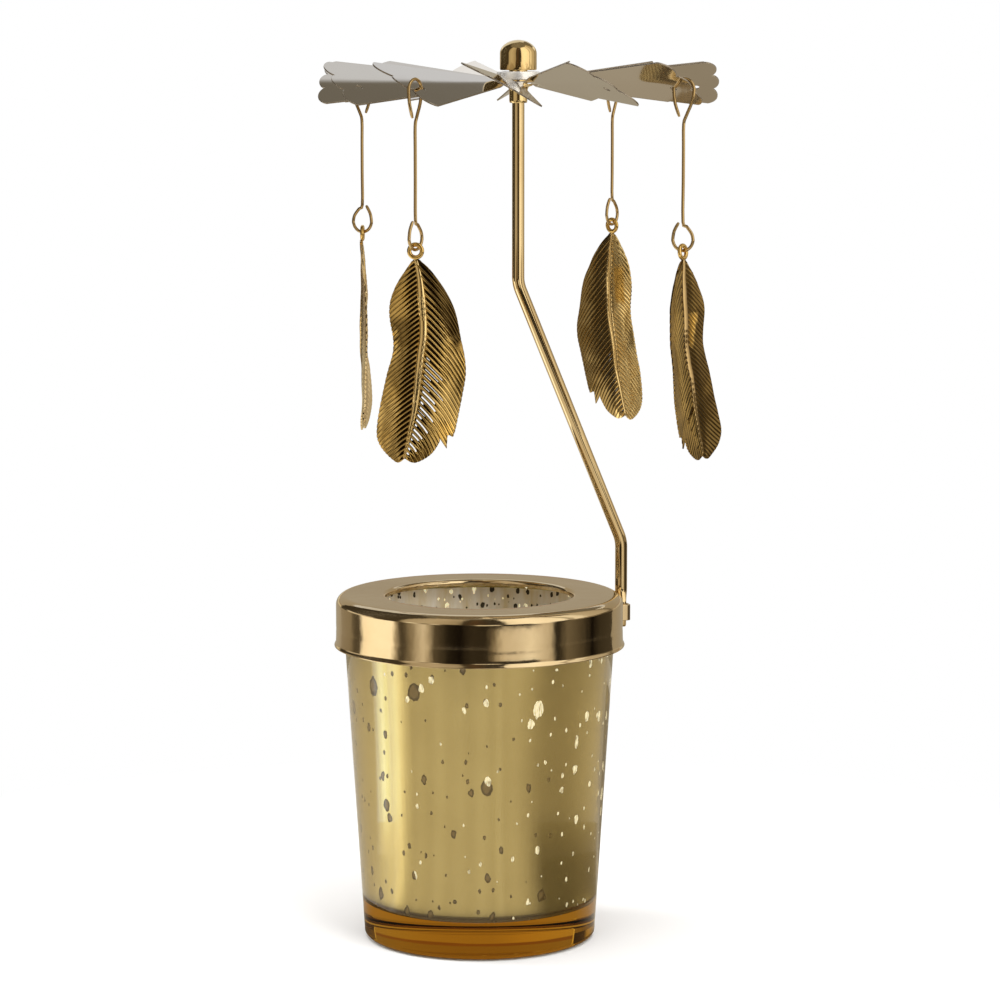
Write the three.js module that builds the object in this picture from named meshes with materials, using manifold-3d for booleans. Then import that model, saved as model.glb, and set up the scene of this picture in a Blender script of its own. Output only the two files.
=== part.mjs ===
// Rotary votive candle holder: a glass cup, a loose lid ring, a bent rod that stands in a strap
// on the lid, and a bladed rotor that turns on the rod's point and carries hooks with feather charms.
// Millimetres and degrees, +Z up. The origin is the middle of the cup's underside, the front is -Y.
import * as THREE from "three";
import { mergeVertices } from "three/addons/utils/BufferGeometryUtils.js";
import Module from "manifold-3d";

// Fits shared by several pieces
const seatGap = 0.3;
const slipClearance = 0.3;
const roundSegments = 48;
const smallSegments = 24;
const cornerSteps = 4;
const smallCornerSteps = 3;

// Glass cup
const cupHeight = 87;
const cupRimRadius = 34.8;
const cupFootRadius = 29.3;
const cupWall = 2.6;
const cupFloor = 9.4;
const cupFootRound = 3.2;
const cupFloorRound = 1.8;

// Lid ring
const lidSheet = 0.6;
const lidSideClearance = 0.9;
const lidSkirtDepth = 12.9;
const lidShoulder = 2.5;
const lidFlare = 0.5;
const lidFlareHeight = 1.3;
const lidHemHeight = 0.4;
const lidMouthRadius = 23.65;
const lidMouthLip = 1.6;
const lidMouthRound = 1;

// Strap lanced out of the lid's skirt
const strapDrop = 4.4;
const strapHeight = 4.1;
const strapSheet = 0.6;
const strapCorner = 1.2;
const strapSlit = 0.35;
const strapRootShare = 0.75;

// Support rod
const rodRadius = 1.55;
const rodSides = 12;
const rodAzimuth = 18.6;
const rodLidClearance = 0.4;
const rodReach = 27.95;
const rodLegRise = 11.9;
const rodDiagonalRise = 66.3;
const rodMastRise = 57;
const rodBendRadius = 9;
const rodBendSteps = 4;
const tongueThickness = 1.6;
const tongueOverhang = 1.75;
const tongueRoot = 1.5;
const pointRadius = 1;
const pointLength = 8;
const pointTaper = 5;

// Hub stack on the rod's point
const sleeveWall = 0.45;
const sleeveLength = 4.7;
const sleeveChamfer = 0.4;
const sleeveFlangeRadius = 3.6;
const sleeveFlangeHeight = 0.5;
const washerRadius = 5.4;
const washerHeight = 2.1;
const washerChamfer = 0.35;
const capRadius = 4.6;
const capWallHeight = 4.1;
const capDomeHeight = 3.4;
const capSocketHeight = 3.4;
const capConeRadius = 1.3;
const capDomeSteps = 5;

// Rotor
const rotorRadius = 50;
const rotorSheet = 0.4;
const rotorHubRadius = 6.5;
const rotorRootOverlap = 2;
const rotorAzimuth = -95;
const bladeCount = 12;
const bladeSpread = 26;
const bladePitch = 28;
const bladeTwistLength = 4.5;
const bladeTwistSteps = 3;
const bladeLobes = 3;
const bladeLobeRadius = 5.4;
const bladeLobeSteps = 3;
const bladeCornerShare = 0.3;

// Hanger hooks
const hookCount = 4;
const hookFirstBlade = 11;
const hookWireRadius = 0.4;
const hookWireSides = 6;
const hookLoopRadius = 2.8;
const hookLengths = [35, 36.1, 32.9, 34.1];
const hookShoulder = 8.3;
const hookThroat = 4.2;
const hookTopTail = 6.4;
const hookBottomTail = 4;
const hookTailInset = 1.6;
const hookSeatRise = 0.56;
const hookHoleRadius = 0.9;
const hookHoleShift = 3;
const hookLoopSteps = 8;
const hookTurns = [180, 0, 0, 0];

// Bends between a loop and the straight shank, as shares of the loop radius and of the bend height
const hookShoulderBend = [
  [0.8, 0.35],
  [0.25, 0.75],
];
const hookThroatBend = [
  [0.35, 0.75],
  [0.85, 0.35],
];

// Feather charms
const featherLength = 51.1;
const featherWidth = 21.6;
const featherSheet = 0.6;
const featherBow = 1.6;
const featherBowSteps = 6;
const featherRibRadius = 0.6;
const featherStockShare = 1.2;
const featherCurveSteps = 2;
const eyeletHoleRadius = 1;
const eyeletWireRadius = 0.55;
const eyeletSegments = 14;

// How each charm hangs on its hook: its turn about the vertical and its tilt out of plumb
const featherYaws = [112, -92.2, 78, 119.8];
const featherTilts = [0, 5, -3, 0];

// Feather outline as shares of its width and of its length below the eyelet's middle
const featherLeftEdge = [
  [-0.05, 0.05],
  [-0.235, 0.17],
  [-0.31, 0.282],
  [-0.262, 0.451],
  [-0.352, 0.609],
  [-0.457, 0.827],
  [-0.425, 0.92],
  [-0.232, 0.998],
  [-0.13, 0.98],
];
const featherTipEdge = [
  [-0.009, 0.999],
  [0.161, 0.961],
  [0.261, 0.899],
  [0.247, 0.87],
];
const featherTuft = [
  [0.337, 0.932],
  [0.347, 0.868],
  [0.407, 0.876],
  [0.43, 0.846],
];
const featherRightEdge = [
  [0.5, 0.687],
  [0.543, 0.564],
  [0.502, 0.422],
  [0.419, 0.263],
  [0.236, 0.125],
  [0.05, 0.043],
];
const featherRib = [
  [0, 0.035],
  [0.05, 0.15],
  [0.081, 0.37],
  [0.055, 0.49],
  [0, 0.7],
  [-0.065, 0.837],
  [-0.139, 0.977],
];

// Sizes that follow from the ones above
const radians = THREE.MathUtils.degToRad;
const lidTop = cupHeight + seatGap + lidSheet;
const lidRadius = cupRimRadius + lidSideClearance + lidSheet;
const strapTop = lidTop - strapDrop;
const strapBottom = strapTop - strapHeight;
const legRadius = lidRadius + rodLidClearance + rodRadius;
const mastRadius = legRadius - rodReach;
const tongueWidth = (Math.PI * rodRadius ** 2) / tongueThickness;
const rodShoulder = strapTop + seatGap;
const lowerBend = lidTop + rodLegRise;
const upperBend = lowerBend + rodDiagonalRise;
const pointTip = upperBend + rodMastRise;
const mastEnd = pointTip - pointLength;
const boreRadius = rodRadius + slipClearance;
const spigotRadius = boreRadius + sleeveWall;
const stackHoleRadius = spigotRadius + slipClearance;
const capBottom = pointTip + seatGap - capSocketHeight - capConeRadius / 2;
const washerBottom = capBottom - seatGap - washerHeight;
const rotorHeight = washerBottom - seatGap - rotorSheet / 2;
const flangeTop = rotorHeight - rotorSheet / 2 - seatGap;
const sleeveBottom = flangeTop - sleeveLength;
const spigotTop = capBottom + capSocketHeight - seatGap;
const bladeTwistEnd = rotorHubRadius + bladeTwistLength;

const wasm = await Module();
wasm.setup();

// A closed geometry as a solid that can be joined and cut.
function solidFrom(geometry) {
  const bare = geometry.clone();
  bare.deleteAttribute("normal");
  bare.deleteAttribute("uv");
  const merged = mergeVertices(bare, 1e-4);
  const mesh = new wasm.Mesh({
    numProp: 3,
    vertProperties: merged.attributes.position.array,
    triVerts: new Uint32Array(merged.index.array),
  });
  return new wasm.Manifold(mesh);
}

function geometryFrom(solid) {
  const mesh = solid.getMesh();
  const geometry = new THREE.BufferGeometry();
  geometry.setAttribute("position", new THREE.BufferAttribute(mesh.vertProperties, 3));
  geometry.setIndex(new THREE.BufferAttribute(mesh.triVerts, 1));
  geometry.computeVertexNormals();
  return geometry;
}

// Points of an arc in a plane, from one angle to another.
function arc(x, y, radius, from, to, steps) {
  return Array.from({ length: steps + 1 }, (_, i) => {
    const angle = radians(from + ((to - from) * i) / steps);
    return new THREE.Vector2(x + radius * Math.cos(angle), y + radius * Math.sin(angle));
  });
}

const at = (x, y) => new THREE.Vector2(x, y);

// A profile of radius and height turned about Z. It runs with the material on its left.
function turned(profile, segments) {
  return new THREE.LatheGeometry(profile, segments).rotateX(Math.PI / 2);
}

// A path that keeps exactly the points it is given.
class PointPath extends THREE.Curve {
  constructor(points) {
    super();
    this.points = points;
  }

  getPoint(t, target = new THREE.Vector3()) {
    const place = t * (this.points.length - 1);
    const index = Math.min(Math.floor(place), this.points.length - 2);
    return target.lerpVectors(this.points[index], this.points[index + 1], place - index);
  }

  getPointAt(u, target) {
    return this.getPoint(u, target);
  }

  getTangentAt(u, target) {
    return this.getTangent(u, target);
  }
}

const roundSection = (radius, sides) => new THREE.Shape(arc(0, 0, radius, 0, 360, sides).slice(0, sides));

// A round wire along points of the XZ plane.
function wire(points, radius, sides) {
  const section = roundSection(radius, sides);
  const path = new PointPath(points.map((p) => new THREE.Vector3(p.x, 0, p.y)));
  return new THREE.ExtrudeGeometry(section, { steps: points.length - 1, extrudePath: path });
}

// The corner points of a bent rod with each inner corner rounded by an arc.
function rounded(corners, radius, steps) {
  const points = [corners[0]];
  for (let i = 1; i < corners.length - 1; i++) {
    const back = corners[i - 1].clone().sub(corners[i]).normalize();
    const ahead = corners[i + 1].clone().sub(corners[i]).normalize();
    const half = Math.acos(back.dot(ahead)) / 2;
    const centre = back.clone().add(ahead).normalize();
    centre.multiplyScalar(radius / Math.sin(half)).add(corners[i]);
    const start = corners[i].clone().addScaledVector(back, radius / Math.tan(half)).sub(centre);
    const end = corners[i].clone().addScaledVector(ahead, radius / Math.tan(half)).sub(centre);
    const sweep = Math.atan2(start.cross(end), start.dot(end));
    for (let step = 0; step <= steps; step++) {
      const point = start.clone().rotateAround(at(0, 0), (sweep * step) / steps);
      points.push(point.add(centre));
    }
  }
  points.push(corners.at(-1));
  return points;
}

function piece(name, geometry, material) {
  const mesh = new THREE.Mesh(geometry, material.clone());
  mesh.name = name;
  return mesh;
}

const glass = new THREE.MeshStandardMaterial({ color: 0xae9961, roughness: 0.12, metalness: 0.3 });
const gold = new THREE.MeshStandardMaterial({ color: 0xb08a4a, roughness: 0.22, metalness: 1 });
const champagne = new THREE.MeshStandardMaterial({ color: 0xc2b294, roughness: 0.16, metalness: 1 });
const silver = new THREE.MeshStandardMaterial({ color: 0xd8d4cc, roughness: 0.3, metalness: 1 });

// Glass cup: a tapered wall on a thick solid base with a rounded foot and a rounded rim.
function makeCup() {
  const slope = (cupRimRadius - cupFootRadius) / cupHeight;
  const outer = (z) => cupFootRadius + slope * z;
  const inner = (z) => outer(z) - cupWall;
  const rimRound = cupWall / 2;
  const rimCentre = cupHeight - rimRound;
  const floorCorner = cupFloor + cupFloorRound;
  const profile = [
    at(0, 0),
    ...arc(outer(cupFootRound) - cupFootRound, cupFootRound, cupFootRound, -90, 0, cornerSteps),
    ...arc(outer(rimCentre) - rimRound, rimCentre, rimRound, 0, 180, cornerSteps),
    ...arc(inner(floorCorner) - cupFloorRound, floorCorner, cupFloorRound, 0, -90, cornerSteps),
    at(0, cupFloor),
  ];
  return turned(profile, roundSegments);
}

// Lid ring: a flat top with a turned-down mouth, a rounded shoulder, a skirt and a flared hem.
function makeLidRing() {
  const bottom = lidTop - lidSkirtDepth;
  const hemRadius = lidRadius + lidFlare;
  const mouth = lidMouthRadius + lidMouthRound;
  const shoulderCentre = lidTop - lidShoulder;
  const profile = [
    at(hemRadius, bottom),
    at(hemRadius, bottom + lidHemHeight),
    at(lidRadius, bottom + lidFlareHeight),
    ...arc(lidRadius - lidShoulder, shoulderCentre, lidShoulder, 0, 90, cornerSteps),
    ...arc(mouth, lidTop - lidMouthRound, lidMouthRound, 90, 180, smallCornerSteps),
    at(lidMouthRadius, lidTop - lidMouthLip),
    at(lidMouthRadius + lidSheet, lidTop - lidMouthLip),
    ...arc(mouth, lidTop - lidMouthRound, lidMouthRound - lidSheet, 180, 90, smallCornerSteps),
    ...arc(lidRadius - lidShoulder, shoulderCentre, lidShoulder - lidSheet, 90, 0, smallCornerSteps),
    at(lidRadius - lidSheet, bottom + lidFlareHeight),
    at(hemRadius - lidSheet, bottom + lidHemHeight),
    at(hemRadius - lidSheet, bottom),
    at(hemRadius, bottom),
  ];
  return solidFrom(turned(profile, roundSegments));
}

// A block in plan with its two outer corners rounded, standing on a height.
function strapBlock(from, to, halfWidth, corner, bottom, height) {
  const plan = new THREE.Shape([
    at(from, -halfWidth),
    ...arc(to - corner, corner - halfWidth, corner, -90, 0, smallCornerSteps),
    ...arc(to - corner, halfWidth - corner, corner, 0, 90, smallCornerSteps),
    at(from, halfWidth),
  ]);
  const block = new THREE.ExtrudeGeometry(plan, { depth: height, bevelEnabled: false });
  return block.translate(0, 0, bottom).rotateZ(radians(rodAzimuth));
}

// The strap is pushed out of the skirt, which leaves a window behind it for the rod's tongue.
function makeLid() {
  const slotEnd = legRadius + tongueThickness / 2 + slipClearance;
  const slotHalf = tongueWidth / 2 + slipClearance;
  const strap = strapBlock(
    lidRadius - strapRootShare * lidSheet,
    slotEnd + strapSheet,
    slotHalf + strapSheet,
    strapCorner,
    strapBottom,
    strapHeight,
  );
  const slot = strapBlock(
    lidRadius - lidSheet - lidSideClearance,
    slotEnd,
    slotHalf,
    strapCorner - strapSheet,
    strapBottom - strapSlit,
    strapHeight + 2 * strapSlit,
  );
  return geometryFrom(makeLidRing().add(solidFrom(strap)).subtract(solidFrom(slot)));
}

// Support rod, drawn in the XZ plane: a tongue, a leg, a diagonal, a mast and a turned point.
function makeRod() {
  const corners = [
    at(legRadius, rodShoulder),
    at(legRadius, lowerBend),
    at(mastRadius, upperBend),
    at(mastRadius, mastEnd),
  ];
  const bent = wire(rounded(corners, rodBendRadius, rodBendSteps), rodRadius, rodSides);
  const tongueTip = strapBottom - tongueOverhang;
  const tongueHeight = rodShoulder + tongueRoot - tongueTip;
  const tongue = new THREE.BoxGeometry(tongueThickness, tongueWidth, tongueHeight);
  tongue.translate(legRadius, 0, tongueTip + tongueHeight / 2);
  const point = turned(
    [
      at(0, mastEnd - pointRadius),
      at(pointRadius, mastEnd - pointRadius),
      at(pointRadius, pointTip - pointTaper),
      at(0, pointTip),
    ],
    smallSegments,
  );
  point.translate(mastRadius, 0, 0);
  return geometryFrom(solidFrom(bent).add(solidFrom(tongue)).add(solidFrom(point)));
}

// The hub pieces are drawn about the mast's axis, with heights above the cup's underside.
function makeSleeve() {
  const flangeBottom = flangeTop - sleeveFlangeHeight;
  const profile = [
    at(boreRadius, sleeveBottom),
    at(spigotRadius - sleeveChamfer / 2, sleeveBottom),
    at(spigotRadius, sleeveBottom + sleeveChamfer),
    at(spigotRadius, flangeBottom),
    at(sleeveFlangeRadius, flangeBottom),
    at(sleeveFlangeRadius, flangeTop),
    at(spigotRadius, flangeTop),
    at(spigotRadius, spigotTop),
    at(boreRadius, spigotTop),
    at(boreRadius, sleeveBottom),
  ];
  return turned(profile, smallSegments);
}

function makeWasher() {
  const top = washerBottom + washerHeight;
  const profile = [
    at(stackHoleRadius, washerBottom),
    at(washerRadius - washerChamfer, washerBottom),
    at(washerRadius, washerBottom + washerChamfer),
    at(washerRadius, top - washerChamfer),
    at(washerRadius - washerChamfer, top),
    at(stackHoleRadius, top),
    at(stackHoleRadius, washerBottom),
  ];
  return turned(profile, smallSegments);
}

function makeCap() {
  const wallTop = capBottom + capWallHeight;
  const socketTop = capBottom + capSocketHeight;
  const quarter = arc(0, 0, 1, 0, 90, capDomeSteps);
  const dome = quarter.map((p) => at(capRadius * p.x, wallTop + capDomeHeight * p.y));
  dome.at(-1).x = 0;
  const profile = [
    at(0, pointTip + seatGap),
    at(capConeRadius, socketTop),
    at(stackHoleRadius, socketTop),
    at(stackHoleRadius, capBottom),
    at(capRadius, capBottom),
    ...dome,
  ];
  return turned(profile, smallSegments);
}

// Rotor blade: half its chord, its pitch and its height at a radius, in the blade's own frame along X.
const halfChord = (radius) => radius * Math.tan(radians(bladeSpread / 2));

function pitchAt(radius) {
  return radians(bladePitch) * THREE.MathUtils.smoothstep(radius, rotorHubRadius, bladeTwistEnd);
}

function bladeHeight(radius, across) {
  return -across * Math.sin(pitchAt(radius));
}

// The lobes stand side by side on the blade's end, each with its tip on the rotor's circle.
const lobeSpacing = (2 * halfChord(rotorRadius)) / (bladeLobes + bladeCornerShare);

function lobeCentre(index) {
  return (index - (bladeLobes - 1) / 2) * lobeSpacing;
}

function edgeRadius(across) {
  const nearest = Math.round(across / lobeSpacing + (bladeLobes - 1) / 2);
  const index = THREE.MathUtils.clamp(nearest, 0, bladeLobes - 1);
  const centre = lobeCentre(index);
  const rise = Math.sqrt(Math.max(0, bladeLobeRadius ** 2 - (across - centre) ** 2));
  return Math.sqrt(rotorRadius ** 2 - centre ** 2) - bladeLobeRadius + rise;
}

// Places across the blade's end, as shares of half its chord: corners, notches and lobe points.
function acrossShares() {
  const half = halfChord(rotorRadius);
  const marks = Array.from({ length: bladeLobes + 1 }, (_, i) => lobeCentre(i) - lobeSpacing / 2);
  marks[0] = -half;
  marks[bladeLobes] = half;
  const shares = [];
  for (let lobe = 0; lobe < bladeLobes; lobe++) {
    for (let step = 0; step < bladeLobeSteps; step++) {
      const share = step / bladeLobeSteps;
      shares.push(THREE.MathUtils.lerp(marks[lobe], marks[lobe + 1], share) / half);
    }
  }
  shares.push(1);
  return shares;
}

// One blade as a closed sheet: a grid of points above, the same grid below, and a rim between them.
function makeBlade() {
  const shares = acrossShares();
  const rows = [rotorHubRadius - rotorRootOverlap];
  for (let step = 0; step <= bladeTwistSteps; step++) {
    rows.push(rotorHubRadius + (bladeTwistLength * step) / bladeTwistSteps);
  }
  const columns = shares.length;
  const lines = rows.length + 1;
  const positions = [];
  for (const side of [1, -1]) {
    for (let line = 0; line < lines; line++) {
      for (const share of shares) {
        const radius = line < rows.length ? rows[line] : edgeRadius(share * halfChord(rotorRadius));
        const across = share * halfChord(radius);
        const pitch = pitchAt(radius);
        const rise = (side * rotorSheet) / 2 / Math.cos(pitch);
        positions.push(radius, across * Math.cos(pitch), bladeHeight(radius, across) + rise);
      }
    }
  }
  const layer = columns * lines;
  const triangles = [];
  const quad = (a, b, c, d) => triangles.push(a, b, c, a, c, d);
  for (let line = 0; line < lines - 1; line++) {
    for (let column = 0; column < columns - 1; column++) {
      const corner = line * columns + column;
      quad(corner, corner + columns, corner + columns + 1, corner + 1);
      const below = layer + corner;
      quad(below + 1, below + columns + 1, below + columns, below);
    }
  }
  const rim = [];
  for (let column = 0; column < columns - 1; column++) rim.push(column);
  for (let line = 0; line < lines - 1; line++) rim.push(line * columns + columns - 1);
  for (let column = columns - 1; column > 0; column--) rim.push((lines - 1) * columns + column);
  for (let line = lines - 1; line > 0; line--) rim.push(line * columns);
  rim.forEach((corner, i) => {
    const next = rim[(i + 1) % rim.length];
    quad(corner, next, layer + next, layer + corner);
  });
  const geometry = new THREE.BufferGeometry();
  geometry.setAttribute("position", new THREE.Float32BufferAttribute(positions, 3));
  geometry.setIndex(triangles);
  return geometry;
}

// Each hook hangs over the strip between a blade's hole and its edge, so both follow from the edge.
const hookAlong = edgeRadius(hookHoleShift) + slipClearance + hookWireRadius - hookLoopRadius;
const hookAcross = hookHoleShift * Math.cos(radians(bladePitch));
const hookRadius = Math.hypot(hookAlong, hookAcross);
const hookTurn = Math.atan2(hookAcross, hookAlong);
const sheetTop = bladeHeight(hookAlong, hookHoleShift) + rotorSheet / 2 / Math.cos(radians(bladePitch));
const hookCentreHeight = sheetTop - hookSeatRise;

function makeRotor() {
  const blade = makeBlade();
  const disc = turned(
    [
      at(stackHoleRadius, -rotorSheet / 2),
      at(rotorHubRadius, -rotorSheet / 2),
      at(rotorHubRadius, rotorSheet / 2),
      at(stackHoleRadius, rotorSheet / 2),
      at(stackHoleRadius, -rotorSheet / 2),
    ],
    roundSegments,
  );
  const drillLength = 2 * hookLoopRadius;
  const drill = new THREE.CylinderGeometry(hookHoleRadius, hookHoleRadius, drillLength, rodSides);
  drill.rotateX(Math.PI / 2).translate(hookRadius - hookLoopRadius, 0, sheetTop);
  let sheet = solidFrom(disc);
  for (let i = 0; i < bladeCount; i++) {
    const turn = (2 * Math.PI * i) / bladeCount;
    const hole = solidFrom(drill.clone().rotateZ(turn + hookTurn));
    sheet = sheet.add(solidFrom(blade.clone().rotateZ(turn)).subtract(hole));
  }
  return geometryFrom(sheet);
}

// Hanger hook in the XZ plane about its upper loop's centre. Its two tails curve in towards the shank.
function makeHook(length) {
  const low = -length;
  const tail = (share, height) => at(hookTailInset * share ** 2 - hookLoopRadius, height);
  const points = [
    tail(1, -hookTopTail),
    tail(0.5, -hookTopTail / 2),
    ...arc(0, 0, hookLoopRadius, 180, 0, hookLoopSteps),
    ...hookShoulderBend.map(([across, down]) => at(hookLoopRadius * across, -hookShoulder * down)),
    at(0, -hookShoulder),
    at(0, low + hookThroat),
    ...hookThroatBend.map(([across, up]) => at(hookLoopRadius * across, low + hookThroat * up)),
    ...arc(0, low, hookLoopRadius, 0, -180, hookLoopSteps),
    tail(0.5, low + hookBottomTail / 2),
    tail(1, low + hookBottomTail),
  ];
  return wire(points, hookWireRadius, hookWireSides);
}

// Feather charm in the XZ plane, hung from the wire at its origin, with its face towards -Y.
const eyeletCentre = -(eyeletHoleRadius - hookWireRadius - seatGap);
const featherPoint = ([across, down]) => at(across * featherWidth, eyeletCentre - down * featherLength);
const bowAt = (across) => featherBow * (across / (featherWidth / 2)) ** 2;

function makeFeather() {
  const start = featherPoint(featherLeftEdge[0]);
  const outline = new THREE.Shape().moveTo(start.x, start.y);
  outline.splineThru(featherLeftEdge.slice(1).map(featherPoint));
  outline.splineThru(featherTipEdge.map(featherPoint));
  featherTuft.map(featherPoint).forEach((p) => outline.lineTo(p.x, p.y));
  outline.splineThru(featherRightEdge.map(featherPoint));
  const depth = 4 * (featherBow + featherSheet);
  const prism = new THREE.ExtrudeGeometry(outline, {
    depth,
    bevelEnabled: false,
    curveSegments: featherCurveSteps,
  });
  prism.translate(0, 0, -depth / 2).rotateX(Math.PI / 2);

  const across = Array.from({ length: featherBowSteps + 1 }, (_, i) => i / featherBowSteps - 0.5);
  const face = across.map((share) => at(share * featherStockShare * featherWidth, 0));
  const front = face.map((p) => at(p.x, bowAt(p.x) - featherSheet / 2));
  const back = face.map((p) => at(p.x, bowAt(p.x) + featherSheet / 2)).reverse();
  const band = new THREE.Shape([...front, ...back]);
  const sheet = new THREE.ExtrudeGeometry(band, { depth: 2 * featherLength, bevelEnabled: false });
  sheet.translate(0, 0, -2 * featherLength);

  const ribLine = featherRib.map(featherPoint).map((p) => new THREE.Vector3(p.x, bowAt(p.x), p.y));
  const section = roundSection(featherRibRadius, hookWireSides);
  const rib = new THREE.ExtrudeGeometry(section, {
    steps: ribLine.length + 2,
    extrudePath: new THREE.CatmullRomCurve3(ribLine),
  });

  const ringRadius = eyeletHoleRadius + eyeletWireRadius;
  const eyelet = new THREE.TorusGeometry(ringRadius, eyeletWireRadius, hookWireSides, eyeletSegments);
  eyelet.rotateX(Math.PI / 2).translate(0, 0, eyeletCentre);
  const body = solidFrom(sheet).intersect(solidFrom(prism));
  return geometryFrom(body.add(solidFrom(rib)).add(solidFrom(eyelet)));
}

// Assembly: the rod stands in its strap, the hub stack and rotor sit on the mast's axis.
const holder = new THREE.Group();
holder.add(piece("glass_cup", makeCup(), glass));
holder.add(piece("lid_ring", makeLid(), gold));

const support = new THREE.Group();
support.rotation.z = radians(rodAzimuth);
support.add(piece("support_rod", makeRod(), gold));
holder.add(support);

const stack = new THREE.Group();
stack.position.set(mastRadius, 0, 0);
stack.add(piece("hub_sleeve", makeSleeve(), gold));
stack.add(piece("hub_washer", makeWasher(), silver));
stack.add(piece("hub_cap", makeCap(), gold));
support.add(stack);

const rotor = new THREE.Group();
rotor.position.set(0, 0, rotorHeight);
rotor.rotation.z = radians(rotorAzimuth - rodAzimuth);
rotor.add(piece("rotor_fan", makeRotor(), champagne));
stack.add(rotor);

for (let i = 0; i < hookCount; i++) {
  const blade = hookFirstBlade + Math.round((i * bladeCount) / hookCount);
  const arm = new THREE.Group();
  arm.rotation.z = (2 * Math.PI * blade) / bladeCount + hookTurn;
  rotor.add(arm);

  const hook = piece(`hanger_hook_${i + 1}`, makeHook(hookLengths[i]), gold);
  hook.position.set(hookRadius, 0, hookCentreHeight);
  hook.rotation.z = radians(hookTurns[i]);
  arm.add(hook);

  const feather = piece(`feather_charm_${i + 1}`, makeFeather(), gold);
  feather.position.set(hookRadius, 0, hookCentreHeight - hookLengths[i] - hookLoopRadius);
  feather.rotation.set(radians(featherTilts[i]), 0, radians(featherYaws[i]), "ZYX");
  arm.add(feather);
}

export default holder;
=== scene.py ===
# Looks of the rotary votive candle holder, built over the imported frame. Metres in Blender, mm below.
from math import atan2, copysign, cos, hypot, pi, radians, sin, sqrt, tan

import bpy
import bmesh
from mathutils import Matrix, Vector, noise
from mathutils.geometry import delaunay_2d_cdt


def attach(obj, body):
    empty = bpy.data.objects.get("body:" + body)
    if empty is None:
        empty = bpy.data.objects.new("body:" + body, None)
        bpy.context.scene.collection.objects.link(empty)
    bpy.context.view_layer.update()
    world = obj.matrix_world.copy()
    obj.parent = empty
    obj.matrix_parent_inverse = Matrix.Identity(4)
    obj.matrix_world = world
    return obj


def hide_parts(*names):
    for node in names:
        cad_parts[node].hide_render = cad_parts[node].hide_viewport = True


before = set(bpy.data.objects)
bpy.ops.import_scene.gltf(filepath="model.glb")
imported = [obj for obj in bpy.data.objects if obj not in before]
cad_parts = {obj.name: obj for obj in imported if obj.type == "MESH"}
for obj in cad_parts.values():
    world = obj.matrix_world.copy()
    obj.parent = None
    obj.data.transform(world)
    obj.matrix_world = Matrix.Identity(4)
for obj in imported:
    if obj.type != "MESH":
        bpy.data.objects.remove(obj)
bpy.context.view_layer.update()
MM = 0.001
scene = bpy.context.scene
scene.view_settings.view_transform = "Standard"

# Sizes repeated from the solids, in mm and degrees
CUP_HEIGHT, CUP_RIM, CUP_FOOT, CUP_WALL, CUP_FLOOR = 87.0, 34.8, 29.3, 2.6, 9.4
LID_TOP, LID_RADIUS, LID_SHEET, LID_DEPTH, MOUTH_RADIUS = 87.9, 36.3, 0.6, 12.9, 23.65
STRAP_TOP, STRAP_BOTTOM = 83.5, 79.4
ROD_AZIMUTH, ROD_RADIUS, ROD_BEND, LEG_RADIUS, MAST_RADIUS = 18.6, 1.55, 9.0, 38.25, 10.3
ROD_FOOT, LOWER_BEND, UPPER_BEND, MAST_END, POINT_TIP = 77.65, 99.8, 166.1, 215.1, 223.1
SLEEVE_BOTTOM, WASHER_BOTTOM, WASHER_TOP, CAP_BOTTOM, CAP_TOP = 211.25, 216.95, 219.05, 219.35, 226.85
HUB_BORE, WASHER_RADIUS, CAP_RADIUS, DOME_RISE = 2.6, 5.4, 4.6, 3.4
ROTOR_HEIGHT, ROTOR_RADIUS, ROTOR_SHEET, ROTOR_HUB = 216.45, 50.0, 0.4, 6.5
ROTOR_AZIMUTH, BLADES, BLADE_SPREAD, BLADE_PITCH, TWIST_LENGTH = -95.0, 12, 26.0, 28.0, 4.5
LOBES, LOBE_RADIUS, CORNER_SHARE = 3, 5.4, 0.3
HOOK_RADIUS, HOOK_TURN, HOOK_Z, HOLE_RADIUS = 47.0648, 3.2263, 214.7081, 0.9
LOOP_RADIUS, WIRE_RADIUS, TAIL_INSET = 2.8, 0.4, 1.6
FEATHER_WIDTH, FEATHER_LENGTH, FEATHER_BOW, FEATHER_SHEET = 21.6, 51.1, 1.6, 0.42
EYELET_Z, EYELET_RADIUS, EYELET_WIRE, EYELET_DEPTH = -0.3, 1.55, 0.55, 0.5

# One value for each hook and its feather
HOOK_BLADES = [11, 14, 17, 20]
HOOK_LENGTHS = [35.0, 36.1, 32.9, 34.1]
HOOK_TURNS = [180, 0, 0, 0]
FEATHER_YAWS = [112.0, -92.2, 78.0, 119.8]
FEATHER_TILTS = [0, 5, -3, 0]
# How dark the painted shade in the grooves is on the left and on the right vane
FEATHER_GROOVE_SHADES = [(1.0, 1.0), (0.75, 0.75), (0.6, 1.0), (0.1, 0.1)]

ROD_TURN = Matrix.Rotation(radians(ROD_AZIMUTH), 4, "Z")
MAST_XY = (MAST_RADIUS * cos(radians(ROD_AZIMUTH)), MAST_RADIUS * sin(radians(ROD_AZIMUTH)))
ON_AXIS = 1e-6
# The film's own coordinates: distance round the cup at one radius, and height plus radius with its middle
WRAP_RADIUS, WRAP_MIDDLE = 31.0, 76


def smoothstep(low, high, value):
    share = min(1.0, max(0.0, (value - low) / (high - low)))
    return share * share * (3 - 2 * share)


def span(value, low, high, soft):
    """1 between two places and 0 outside them, with soft ends inside."""
    return smoothstep(low, low + soft, value) * smoothstep(high, high - soft, value)


def arc(cx, cy, radius, start, end, steps):
    """Points on an arc between two angles in degrees, both ends included."""
    angles = [radians(start + (end - start) * i / steps) for i in range(steps + 1)]
    return [(cx + radius * cos(a), cy + radius * sin(a)) for a in angles]


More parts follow.
